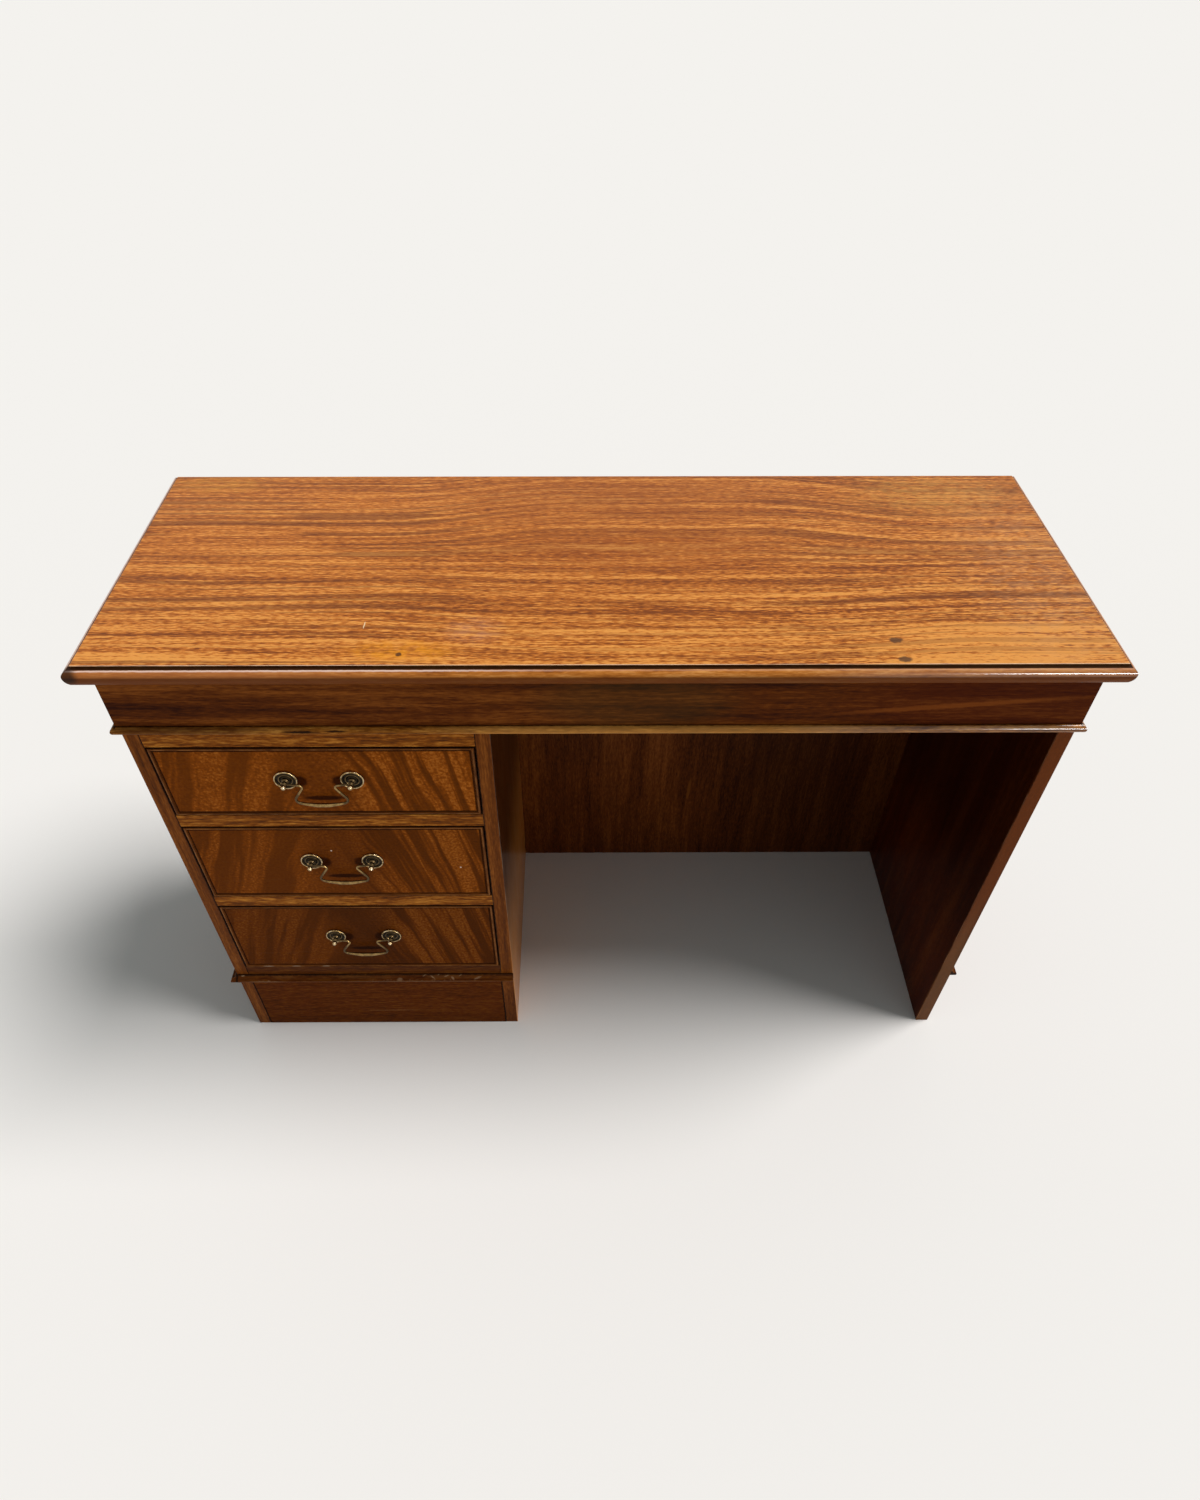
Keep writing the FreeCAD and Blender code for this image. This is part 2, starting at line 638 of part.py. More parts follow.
def make_drawer_box(stem, floor, opening):
    half = "(dim.pedestal_width / 2 - dim.panel_thickness - dim.reveal)"
    left, right = f"({WELL_CENTRE} - {half})", f"({WELL_CENTRE} + {half})"
    low = f"({floor} + dim.reveal)"
    high = f"({floor} + {opening} - dim.reveal)"
    lap = f"(dim.cock_depth - {BASE_Y})"
    rear = f"(dim.front_thickness - {BASE_Y})"
    end = f"({BACK_INNER} - dim.drawer_rear_gap)"
    inner_left = f"({left} + dim.side_thickness)"
    inner_right = f"({right} - dim.side_thickness)"
    base = f"({floor} + dim.running_gap)"
    panel_low = f"({base} + dim.drawer_bottom_raise)"
    panel_high = f"({panel_low} + dim.drawer_bottom_thickness)"
    side_top = f"({floor} + {opening} - dim.drawer_headroom)"

    front = keep(board(f"{stem}_front", (inner_left, lap, low), (inner_right, rear, high)))
    add_block(front, (f"{left} + dim.cock_width", f"-{BASE_Y}", f"{low} + dim.cock_width"),
              (f"{right} - dim.cock_width", lap, f"{high} - dim.cock_width"))
    dress(front, "Chamfer", "Size", "dim.front_chamfer", Vector(0, -1, 0))
    cut_block(front, (f"{left} - dim.overrun", f"{rear} - dim.groove_depth", panel_low),
              (f"{right} + dim.overrun", f"{rear} + dim.overrun", panel_high))
    holes = new_sketch(front, "XZ_Plane", BASE_Y)
    for index, sign in enumerate("-+"):
        centre = (f"{WELL_CENTRE} {sign} dim.handle_spacing / 2", handle_height(floor, opening))
        circle(holes, index, centre, "dim.shank_radius + dim.shank_fit")
    pocket(front, holes)

    for side, outer, inner, groove in (
            ("left", left, inner_left, (f"{inner_left} - dim.groove_depth", inner_left)),
            ("right", right, inner_right, (inner_right, f"{inner_right} + dim.groove_depth"))):
        low_x, high_x = (outer, inner) if side == "left" else (inner, outer)
        item = keep(board(f"{stem}_{side}_side", (low_x, lap, base), (high_x, end, side_top)))
        cut_block(item, (groove[0], f"{rear} - dim.groove_depth", panel_low),
                  (groove[1], f"{end} + dim.overrun", panel_high))

    keep(box(f"{stem}_back", (inner_left, f"{end} - dim.drawer_back_thickness", panel_high),
             (inner_right, end, f"{side_top} - dim.drawer_back_drop")))
    tongue = "(dim.groove_depth - dim.groove_fit)"
    keep(box(f"{stem}_bottom", (f"{inner_left} - {tongue}", f"{rear} - {tongue}", panel_low),
             (f"{inner_right} + {tongue}", end, panel_high)))
    make_cock_bead(stem, half, f"({floor} + {opening} / 2)", f"({opening} / 2 - dim.reveal)")


def make_cock_bead(stem, half_x, centre_z, half_z):
    """Four thin strips, mitred round the front, with a rounded edge that stands proud of it."""
    round_over = ("dim.cock_width / 2", 1)
    corners = (
        ("-dim.cock_width", "dim.cock_depth"),
        ("-dim.cock_width", "dim.cock_width / 2 - dim.cock_proud"),
        ("-dim.cock_width / 2", "-dim.cock_proud"),
        ("0", "dim.cock_width / 2 - dim.cock_proud"),
        ("0", "dim.cock_depth"))
    lay_down = Rotation(Vector(1, 0, 0), -90)
    strips = []
    for side, half, dx, dz, angle in (
            ("top", half_x, "0", half_z, 0), ("right", half_z, half_x, "0", 90),
            ("bottom", half_x, "0", f"-{half_z}", 180), ("left", half_z, f"-{half_x}", "0", 270)):
        turn = Rotation(Vector(0, 1, 0), angle) * lay_down
        strips.append(strip(
            f"{stem}_cock_bead_{side}", corners, {1: round_over, 2: round_over},
            (f"-{half}", half), (True, True), ("0", "dim.cock_width"),
            (f"{WELL_CENTRE} + {dx}", f"-{BASE_Y}", f"{centre_z} + {dz}"), turn))
    keep(group(f"{stem}_cock_bead", strips))


# Swan-neck handle: a dished rose and a turned post at each end, and a bail that hangs between them

def turned(label, corners, bows, spot):
    """A turned piece, given as pairs (radius, how far it stands out of the drawer front)."""
    owner = doc.addObject("PartDesign::Body", label)
    profile = new_sketch(owner, "XY_Plane", "0")
    outline(profile, [(radius, f"-({out})") for radius, out in corners], bows)
    feature = owner.newObject("PartDesign::Revolution", "Revolution")
    feature.Profile = profile
    feature.ReferenceAxis = (profile, ["V_Axis"])
    feature.Angle = 360.0
    place(owner, spot)
    return owner


def make_rose(stem, spot):
    rim_inner = "dim.rose_radius - dim.rose_rim_width"
    rim_round = ("dim.rose_rim_width / 2", 1)
    corners = (
        ("dim.shank_radius + dim.shank_fit", "0"),
        ("dim.rose_radius", "0"),
        ("dim.rose_radius", "dim.rose_rim_height - dim.rose_rim_width / 2"),
        ("dim.rose_radius - dim.rose_rim_width / 2", "dim.rose_rim_height"),
        (rim_inner, "dim.rose_rim_height - dim.rose_rim_width / 2"),
        ("(dim.rose_radius + dim.rose_ring_radius) / 2", "dim.rose_dish_height"),
        ("dim.rose_ring_radius", "dim.rose_ring_height"),
        ("(dim.rose_ring_radius + dim.rose_boss_radius) / 2", "dim.rose_dish_height"),
        ("dim.rose_boss_radius", "dim.rose_boss_height"),
        ("dim.shank_radius + dim.shank_fit", "dim.rose_boss_height"))
    bows = {2: rim_round, 3: rim_round}
    return mirrored_pair(f"{stem}_handle_roses", turned(f"{stem}_rose", corners, bows, spot))


def make_post(stem, spot):
    collar = "dim.rose_boss_height + dim.collar_height"
    ball_low = "(dim.ball_height - sqrt(dim.ball_radius ^ 2 - dim.neck_radius ^ 2))"
    corners = (
        ("0", "-dim.shank_length"),
        ("dim.shank_radius", "-dim.shank_length"),
        ("dim.shank_radius", "dim.rose_boss_height"),
        ("dim.collar_radius", "dim.rose_boss_height"),
        ("dim.collar_radius", collar),
        ("dim.waist_radius", "dim.waist_height"),
        ("dim.eye_radius", "dim.bail_standoff"),
        ("dim.neck_radius", ball_low),
        ("0", "dim.ball_height + dim.ball_radius"))
    item = turned(f"{stem}_post", corners, {7: ("dim.ball_radius", 1)}, spot)
    eye = new_sketch(item, "YZ_Plane", "0")
    circle(eye, 0, ("-dim.bail_standoff", "0"), "dim.pin_radius + dim.pin_fit")
    pocket(item, eye)
    return mirrored_pair(f"{stem}_handle_posts", item)


def make_nut(stem, spot):
    """A six-sided nut against the back of the drawer front."""
    x, _, z = spot
    near = f"dim.front_thickness - {BASE_Y}"
    inward = Rotation(Vector(1, 0, 0), -90)
    prism = doc.addObject("Part::Prism", f"{stem}_nut_blank")
    prism.Polygon = 6
    prism.setExpression("Circumradius", "dim.nut_across / sqrt(3)")
    prism.setExpression("Height", "dim.nut_thickness")
    prism.Placement = Placement(Vector(), inward)
    place(prism, (x, near, z))
    bore = rod(f"{stem}_nut_bore", "dim.shank_radius + dim.pin_fit",
               "dim.nut_thickness + 2 * dim.overrun", (x, f"{near} - dim.overrun", z), inward)
    return mirrored_pair(f"{stem}_handle_nuts", cut(f"{stem}_nut", prism, [bore]))


def rounded_path(corners, radii):
    """Straight runs through the corners, joined by arcs that touch both runs."""
    edges = []
    here = corners[0]
    for before, corner, after, radius in zip(corners, corners[1:], corners[2:], radii):
        back = (before - corner).normalize()
        ahead = (after - corner).normalize()
        half_turn = (math.pi - back.getAngle(ahead)) / 2
        tangent = radius * math.tan(half_turn)
        start = corner + back * tangent
        finish = corner + ahead * tangent
        crown = (back + ahead).normalize() * (radius / math.cos(half_turn) - radius)
        edges.append(Part.LineSegment(here, start).toShape())
        edges.append(Part.Arc(start, corner + crown, finish).toShape())
        here = finish
    edges.append(Part.LineSegment(here, corners[-1]).toShape())
    return edges


def stations(edges):
    """Points along a path with the way it heads there and the distance run so far."""
    found = []
    run = 0.0
    for edge in edges:
        first, last = edge.ParameterRange
        turn = math.degrees(edge.tangentAt(first).getAngle(edge.tangentAt(last)))
        steps = max(1, math.ceil(turn / BAIL_STEP))
        for step in range(0 if not found else 1, steps + 1):
            at = first + (last - first) * step / steps
            found.append((edge.valueAt(at), edge.tangentAt(at), run + edge.Length * step / steps))
        run += edge.Length
    return found, run


def make_bail(stem, spot):
    """The bail's wire enters each post from the inner side, turns down and out at the shoulder,
    round the lower corner, and swells into the grip."""
    item = doc.addObject("Part::Feature", f"{stem}_handle_bail")
    size = {name: number(item, f"dim.{name}") for name in SIZES}
    pin_end = size["handle_spacing"] / 2 - size["pin_set_back"]
    pin_root = pin_end - size["pin_length"]
    half = [
        Vector(pin_root, 0, 0),
        Vector(size["bail_neck_half"], 0, -size["bail_neck_drop"]),
        Vector(size["bail_corner_half"], 0, -size["bail_corner_drop"]),
        Vector(0, 0, -size["bail_drop"])]
    mirror = [Vector(-corner.x, 0, corner.z) for corner in reversed(half[:-1])]
    bends = [size["bail_neck_radius"], size["bail_corner_radius"]]
    radii = bends + [size["bail_grip_radius"]] + bends[::-1]
    places, run = stations(rounded_path(half + mirror, radii))
    sections = []
    for point, heading, along in places:
        from_middle = abs(2 * along / run - 1)
        swell = math.cos(math.pi / 2 * min(1.0, from_middle / GRIP_SWELL_SHARE)) ** 2
        taper = min(1.0, min(along, run - along) / size["bail_taper_length"])
        radius = size["pin_radius"] + (size["wire_radius"] - size["pin_radius"]) * taper
        radius += (size["grip_radius"] - size["wire_radius"]) * swell
        ring = Part.Wire(Part.makeCircle(radius))
        across = Vector(0, 1, 0)
        ring.Placement = Placement(point, Rotation(across, heading.cross(across), heading, "ZXY"))
        sections.append(ring)
    wire = Part.makeLoft(sections, True, True)
    for side in (-1, 1):
        root = Vector(side * pin_root, 0, 0)
        wire = wire.fuse(Part.makeCylinder(size["pin_radius"], size["pin_length"], root,
                                           Vector(side, 0, 0)))
    item.Shape = wire
    place(item, spot)
    return item


def make_handle(stem, floor, opening):
    height = handle_height(floor, opening)
    spot = (f"({WELL_CENTRE} + dim.handle_spacing / 2)", f"-{BASE_Y}", height)
    keep(make_rose(stem, spot))
    keep(make_post(stem, spot))
    keep(make_nut(stem, spot))
    keep(make_bail(stem, (WELL_CENTRE, f"-({BASE_Y} + dim.bail_standoff)", height)))


# Checks and files

def check_model():
    """Stops if anything failed to build, or if a cut took nothing away."""
    for item in doc.Objects:
        if "Invalid" in item.State or "Error" in item.State:
            raise RuntimeError(f"{item.Label} did not build: {item.State}")
        if item.TypeId == "PartDesign::Pocket":
            if item.Shape.Volume > item.BaseFeature.Shape.Volume - SAME:
                raise RuntimeError(f"{item.Label} of {item.getParentGeoFeatureGroup().Label} cut nothing")
    for item in nodes:
        if item.Shape.isNull() or not item.Shape.isValid() or not item.Shape.Solids:
            raise RuntimeError(f"{item.Label} is not a sound solid")


def write_parts():
    os.makedirs("parts", exist_ok=True)
    for item in nodes:
        item.Shape.exportStep(f"parts/{item.Label}.step")
    print(len(nodes), "nodes written")


fill_sheet()
make_top()
make_frieze()
make_panels()
make_rails()
make_plinth()
make_fixings()
for drawer in DRAWERS:
    make_drawer_box(*drawer)
    make_handle(*drawer)
doc.recompute()
check_model()
write_parts()
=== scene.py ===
# %% [markdown]
# A writing desk in lacquered mahogany, three drawers on the left and a kneehole on the right. The
# solids come from the CAD model and are never moved. This lesson dresses them: it sets the camera,
# the floor and the light, mixes one finish for each kind of timber and metal on the real desk, and
# lays each finish on the pieces that wear it.

# %% The frame
import math

import bpy
from mathutils import Matrix, Vector


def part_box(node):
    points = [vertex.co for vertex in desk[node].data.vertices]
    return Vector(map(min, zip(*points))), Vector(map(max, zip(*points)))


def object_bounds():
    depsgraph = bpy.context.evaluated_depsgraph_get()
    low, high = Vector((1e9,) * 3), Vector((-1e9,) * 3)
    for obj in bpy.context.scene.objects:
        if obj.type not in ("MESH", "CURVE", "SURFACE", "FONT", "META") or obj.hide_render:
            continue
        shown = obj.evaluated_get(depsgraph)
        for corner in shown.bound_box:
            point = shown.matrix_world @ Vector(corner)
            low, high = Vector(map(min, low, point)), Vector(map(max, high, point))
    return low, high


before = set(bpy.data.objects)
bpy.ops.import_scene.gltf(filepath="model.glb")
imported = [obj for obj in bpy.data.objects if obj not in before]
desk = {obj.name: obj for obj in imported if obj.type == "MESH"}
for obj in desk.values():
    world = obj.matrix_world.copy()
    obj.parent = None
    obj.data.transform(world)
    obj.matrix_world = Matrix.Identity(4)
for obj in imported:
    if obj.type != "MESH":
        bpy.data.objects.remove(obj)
cad_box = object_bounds()
scene = bpy.context.scene
print(len(desk), "pieces from the CAD model")

# %% [markdown]
# The camera stands in front of the desk, a little left of its middle and well above it, and looks
# down at about 46 degrees. Its place and its lens were solved from the straight edges of the desk,
# so a pixel of the picture and a point of the model belong together.

# %% Camera
IMAGE_WIDTH, IMAGE_HEIGHT = 1200, 1500
FOCAL_PIXELS = 952.45
CENTRE_ACROSS, CENTRE_DOWN = 584.22, 787.73
SENSOR_WIDTH = 36.0
CAMERA_PLACE = (-0.0229, -0.9896, 1.4038)  # metres
LOOK_DOWN, TURN, ROLL = 46.466, -0.399, 0.116  # degrees

camera_data = bpy.data.cameras.new("camera")
camera_data.sensor_width = SENSOR_WIDTH
camera_data.lens = FOCAL_PIXELS * SENSOR_WIDTH / IMAGE_HEIGHT
camera_data.shift_x = (IMAGE_WIDTH / 2 - CENTRE_ACROSS) / IMAGE_HEIGHT
camera_data.shift_y = (CENTRE_DOWN - IMAGE_HEIGHT / 2) / IMAGE_HEIGHT
camera = bpy.data.objects.new("camera", camera_data)
camera.matrix_world = (
    Matrix.Translation(CAMERA_PLACE)
    @ Matrix.Rotation(math.radians(TURN), 4, "Z")
    @ Matrix.Rotation(math.radians(90 - LOOK_DOWN), 4, "X")
    @ Matrix.Rotation(math.radians(ROLL), 4, "Z"))
scene.collection.objects.link(camera)
scene.camera = camera
scene.view_settings.view_transform = "Standard"
print("lens", round(camera_data.lens, 2), "mm")

# %% [markdown]
# Every material is a small web of nodes. One function adds a node with its settings and fills its
# sockets, so a web reads from top to bottom like a recipe. Another turns a colour as a painter
# would write it, in sRGB hex, into the linear numbers that the renderer counts in.

# %% Helpers for materials
def add(tree, kind, links=(), **settings):
    """Adds a node with its settings. links fills its open sockets in their order, or by name where
    it is a dictionary. Each gets a value, a node (its first open output) or a pair of a node and
    the name of its output."""
    made = tree.nodes.new("ShaderNode" + kind)
    for name, value in settings.items():
        setattr(made, name, value)
    if isinstance(links, dict):
        pairs = [(made.inputs[name], value) for name, value in links.items()]
    else:
        pairs = zip([socket for socket in made.inputs if socket.enabled], links)
    for socket, value in pairs:
        if isinstance(value, bpy.types.Node):
            tree.links.new(next(out for out in value.outputs if out.enabled), socket)
        elif isinstance(value, tuple) and isinstance(value[0], bpy.types.Node):
            tree.links.new(value[0].outputs[value[1]], socket)
        else:
            socket.default_value = value
    return made


def linear(hex_colour):
    """An sRGB hex colour as linear red, green, blue and alpha."""
    parts = [int(hex_colour[i:i + 2], 16) / 255 for i in (1, 3, 5)]
    return [c / 12.92 if c <= 0.04045 else ((c + 0.055) / 1.055) ** 2.4 for c in parts] + [1.0]


def new_material(name):
    """An empty material, with its tree and its output node."""
    made = bpy.data.materials.new(name)
    made.use_nodes = True
    made.node_tree.nodes.clear()
    return made, made.node_tree, add(made.node_tree, "OutputMaterial")


def lay_on(material, *names):
    """Lays one finish on the named pieces."""
    for name in names:
        slots = desk[name].data.materials
        slots.clear()
        slots.append(material)
    print(material.name, "on", ", ".join(names))


print("the sRGB grey #808080 is", round(linear("#808080")[0], 3), "of white in linear light")

# %% [markdown]
# The floor is a plain pale sheet, far wider than the view and quite matt, so only the shadow of
# the desk shows on it. It is the stage, and no part of the desk.

# %% Floor
PALE = "#F4F2EE"
FLOOR_HALF = 60.0  # metres

floor_mesh = bpy.data.meshes.new("floor")
floor_mesh.from_pydata(
    [(-FLOOR_HALF, -FLOOR_HALF, 0), (FLOOR_HALF, -FLOOR_HALF, 0),
     (FLOOR_HALF, FLOOR_HALF, 0), (-FLOOR_HALF, FLOOR_HALF, 0)], [], [(0, 1, 2, 3)])
floor = bpy.data.objects.new("floor", floor_mesh)
scene.collection.objects.link(floor)
material, tree, output = new_material("pale_floor")
paper = add(tree, "BsdfPrincipled", {
    "Base Color": linear(PALE), "Roughness": 0.9, "Specular IOR Level": 0.0})
tree.links.new(paper.outputs[0], output.inputs[0])
floor_mesh.materials.append(material)
print("floor", 2 * FLOOR_HALF, "m wide")

# %% [markdown]
# One soft sun stands to the right of the desk, two thirds of the way up, so the shadow falls to
# the left and the front of the desk is lit by the sky and by the floor. The sky is a little cool
# and the sun a little warm, so the shadow is a neutral grey, though red wood throws light into it.
# Sun and sky together light a level surface with white at full strength, so a colour shows there
# as it is written. A second lamp stands low in front and to the right, like a window. Only shiny
# surfaces see it: it draws the bright line along the right end of each rounded edge and a spark on
# each handle, and adds no light to the wood or the floor.

# %% Light
SKY_SHARE, SKY_TINT = 0.25, (0.92, 1.0, 1.01)
SUN_HEIGHT, SUN_TURN, SUN_WIDTH = 59.0, 4.0, 28.0  # degrees
WINDOW_HEIGHT, WINDOW_TURN, WINDOW_WIDTH = 4.0, -62.0, 9.0  # degrees
WINDOW_STRENGTH = 1.2


def far_lamp(name, height, turn, width, strength):
    """A lamp as far away as the sun. The first three sizes are degrees."""
    high, turn = math.radians(height), math.radians(turn)
    towards = Vector((math.cos(high) * math.cos(turn), math.cos(high) * math.sin(turn),
                      math.sin(high)))
    lamp_data = bpy.data.lights.new(name, "SUN")
    lamp_data.angle = math.radians(width)
    lamp_data.energy = strength
    lamp = bpy.data.objects.new(name, lamp_data)
    lamp.rotation_mode = "QUATERNION"
    lamp.rotation_quaternion = towards.to_track_quat("Z", "Y")
    scene.collection.objects.link(lamp)
    return lamp


sun_strength = (1 - SKY_SHARE) * math.pi / math.sin(math.radians(SUN_HEIGHT))
sun = far_lamp("soft_sun", SUN_HEIGHT, SUN_TURN, SUN_WIDTH, sun_strength)
sun.data.color = [(1 - SKY_SHARE * tint) / (1 - SKY_SHARE) for tint in SKY_TINT]
window = far_lamp("window", WINDOW_HEIGHT, WINDOW_TURN, WINDOW_WIDTH, WINDOW_STRENGTH)
window.visible_diffuse = False
print("sun strength", round(sun_strength, 2))

# %% [markdown]
# The sky lights the desk from all sides, but it isn't shown. What the camera sees beyond the floor
# is as pale as the floor, and metal and lacquer reflect that same paleness, so the ray's kind
# decides which of the two backgrounds it meets.

# %% Sky
world = bpy.data.worlds.new("studio")
scene.world = world
world.use_nodes = True
sky = world.node_tree
sky.nodes.clear()
path = add(sky, "LightPath")
seen = add(sky, "Math", [(path, "Is Camera Ray"), (path, "Is Glossy Ray")], operation="MAXIMUM")
seen = add(sky, "Math", [seen, (path, "Is Transmission Ray")], operation="MAXIMUM")
fill = add(sky, "Background", [(*SKY_TINT, 1), SKY_SHARE])
pale = add(sky, "Background", [linear(PALE), 1.0])
add(sky, "OutputWorld", [add(sky, "MixShader", [seen, fill, pale])])
print("the sky gives", SKY_SHARE, "of the light on a level surface")

# %% [markdown]
# A pattern in wood has real sizes, so every finish starts from the place of a point on the desk in
# millimetres. The CAD pieces keep their points in the desk's own frame, so the object coordinates
# are that place already, and they stay with a drawer when it slides. Marks and stains are soft
# ovals at such a place. A noise pushes their edge about, as no real mark is a perfect oval.

# %% Places and soft marks
MM = 1000  # millimetres in a metre
ANY = 1e6  # a half size that leaves a direction out of account
NOISE_SWING = 0.25  # how far most of a noise strays from its middle, 0.5


def span(box, axis):
    """Where the box of a piece starts and ends along X, Y or Z, in millimetres."""
    return [corner["XYZ".index(axis)] * MM for corner in box]


def place_on_desk(tree):
    """The place of a point in millimetres, as one vector and as a node with its three numbers."""
    at = add(tree, "TexCoord")
    place = add(tree, "VectorMath", [(at, "Object"), (MM, MM, MM)], operation="MULTIPLY")
    return place, add(tree, "SeparateXYZ", [place])


def ramp(tree, value, start, finish, low=0.0, high=1.0):
    """Rises smoothly from low to high while the value runs from start to finish."""
    return add(tree, "MapRange", [value, start, finish, low, high], interpolation_type="SMOOTHSTEP")


def mark(tree, place, centre, half, soft=0.6, tilt=0.0):
    """One inside an oval with these half sizes, fading to nothing at its rim. tilt turns it, in
    degrees, about the line from the front to the back."""
    offset = add(tree, "VectorMath", [place, centre], operation="SUBTRACT")
    if tilt:
        offset = add(tree, "VectorRotate", {"Vector": offset, "Angle": math.radians(tilt)},
                     rotation_type="Y_AXIS")
    offset = add(tree, "VectorMath", [offset, half], operation="DIVIDE")
    return ramp(tree, add(tree, "VectorMath", [offset], operation="LENGTH"), 1.0, 1.0 - soft)


def pushed(tree, place, noise, reach):
    """The place, pushed about by a noise by up to a reach along each axis, in millimetres."""
    push = add(tree, "VectorMath", [(noise, "Color"), (0.5, 0.5, 0.5)], operation="SUBTRACT")
    full_reach = tuple(length / NOISE_SWING for length in reach)
    return add(tree, "VectorMath", [push, full_reach, place], operation="MULTIPLY_ADD")


def uneven(tree, place, amount, size):
    """The same place, pushed about by up to an amount in patches of a size, in millimetres."""
    patches = add(tree, "Mapping", {"Vector": place, "Scale": (1 / size, 1 / size, 1 / size)})
    return pushed(tree, place, add(tree, "TexNoise", [patches, 1.0, 2.0]), (amount,) * 3)


def stain(tree, colour, amount, over, strength=1.0, blend="MIX"):
    """Colours a surface over by an amount, as a stain, a mark or wear does."""
    amount = add(tree, "Math", [amount, strength], operation="MULTIPLY")
    return add(tree, "Mix", [amount, colour, linear(over)], data_type="RGBA", blend_type=blend)


left_end, right_end = span(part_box("top_board"), "X")
print("the top board is", round(right_end - left_end), "mm long")

# %% [markdown]
# Mahogany has interlocked grain: its fibres lean one way and then the other in bands, so a board
# shows long soft ribbons of light and dark, with finer threads in them and short flecks along
# them. Noise that is stretched along the grain gives each of these, and adding three or four sizes
# of it is nearer to wood than one noise with much detail.

# %% Grain
GRAIN_ORDER = {"X": "XYZ", "Y": "YXZ", "Z": "ZXY"}  # the axis along the grain comes first
DRIFT_LENGTH, DRIFT_WIDTH = 260, 60
LAYER_SHIFT = 17  # takes each layer of the figure from another part of the noise


def streaks(tree, point, length, width, detail=2.0, shift=0.0):
    """Noise in streaks of a length and a width in millimetres, as a number around 0.5."""
    stretched = add(tree, "Mapping", [
        point, (shift, shift, shift), (0, 0, 0), (1 / length, 1 / width, 1 / width)])
    return add(tree, "TexNoise", [stretched, 1.0, detail])


def along_grain(tree, numbers, along, wander=3.0, shift=0.0):
    """The place with its number along the grain first. The fibres drift sideways by up to wander,
    in millimetres."""
    turned = add(tree, "CombineXYZ", [(numbers, axis) for axis in GRAIN_ORDER[along]])
    drift = streaks(tree, turned, DRIFT_LENGTH, DRIFT_WIDTH, 1.0, shift)
    return pushed(tree, turned, drift, (0, wander, wander))


def figure(tree, point, layers, shift=0.0):
    """Streaks of several sizes, added up round 0.5. A layer is (length, width, weight)."""
    total = 0.5 - 0.5 * sum(weight for _, _, weight in layers)
    for index, (length, width, weight) in enumerate(layers):
        noise = streaks(tree, point, length, width, 2.0, shift + LAYER_SHIFT * index)
        total = add(tree, "Math", [noise, weight, total], operation="MULTIPLY_ADD")
    return total


BOARD = ((600, 13, 1.1), (180, 5, 0.8), (45, 2.4, 0.8), (10, 1.8, 0.9))
RAIL_GRAIN = ((300, 9, 0.8), (70, 4.5, 1.0), (24, 3.0, 1.1), (9, 1.8, 1.0))
FRIEZE_GRAIN = ((500, 17, 1.5), (170, 8, 1.0), (50, 3.0, 0.7), (12, 2.0, 0.9))
PANEL_GRAIN = ((700, 38, 1.3), (220, 13, 0.8), (60, 4, 0.7), (9, 2.0, 1.2))
PLINTH_GRAIN = ((300, 14, 0.6), (60, 4, 0.7), (20, 2.4, 1.1), (8, 1.8, 1.3))
print("grain layers, length and width in mm:", [layer[:2] for layer in BOARD])

# %% [markdown]
# The colours of a board run from the brown of its darkest stripes to the gold of its lightest, so
# each board has a short list of tones, and the figure picks among them. Mahogany is also full of
# open pores, which show as short dark dashes along the grain. Real ones are about 0.2 mm wide and
# too fine to show, so they are drawn 0.9 mm wide.

# %% Tones and pores
PORE_LENGTH, PORE_WIDTH, PORE_SHIFT = 9, 0.9, 83


def toned(tree, level, tones):
    """A colour for a number between 0 and 1, from the darkest tone of the board to the lightest."""
    made = add(tree, "ValToRGB", [level])
    stops = made.color_ramp.elements
    stops[0].color = linear(tones[0])
    stops[1].color = linear(tones[-1])
    for index, tone in enumerate(tones[1:-1], 1):
        stops.new(index / (len(tones) - 1)).color = linear(tone)
    return made


def pores(tree, point, shift=0.0):
    """One in the open pores, short dashes along the grain."""
    dashes = streaks(tree, point, PORE_LENGTH, PORE_WIDTH, 1.0, shift + PORE_SHIFT)
    return ramp(tree, dashes, 0.60, 0.70)


print("pores", PORE_LENGTH, "mm long and", PORE_WIDTH, "mm wide")

# %% [markdown]
# The finish over the wood is a sprayed lacquer, rubbed to a soft shine. It is a clear skin, so the
# colour comes from below and the skin adds only a faint reflection, uneven where hands and cloths
# have polished it. The pores telegraph through as tiny hollows, which a bump gives. Its gloss is
# set low, because the room that the real desk reflects is dim and brown, not a white studio. On a
# rounded edge the lacquer is rubbed thin. Such an edge is where a face has turned away from the
# three main directions of the desk.

# %% Lacquer and worn edges
HOLLOW_DEPTH = 0.0003  # metres
SMUDGES = 11.0  # about how many lie along a piece


def lacquer(tree, output, colour, hollows, roughness=0.34, gloss=0.03, polished=0.0, glassy=0.12):
    """A rubbed lacquer over a colour, with the pores showing through as hollows. polished is how
    much of a second, glassy coat the place has, and glassy is the roughness of that coat."""
    relief = add(tree, "Bump", {"Strength": 0.15, "Distance": HOLLOW_DEPTH, "Height": hollows},
                 invert=True)
    smudges = add(tree, "TexNoise", {"Scale": SMUDGES, "Detail": 3.0})
    skin = add(tree, "BsdfPrincipled", {
        "Base Color": colour, "Normal": relief, "Specular IOR Level": gloss,
        "Coat Weight": polished, "Coat Roughness": glassy,
        "Roughness": ramp(tree, smudges, 0.3, 0.7, roughness * 0.92, roughness * 1.08)})
    tree.links.new(skin.outputs[0], output.inputs[0])


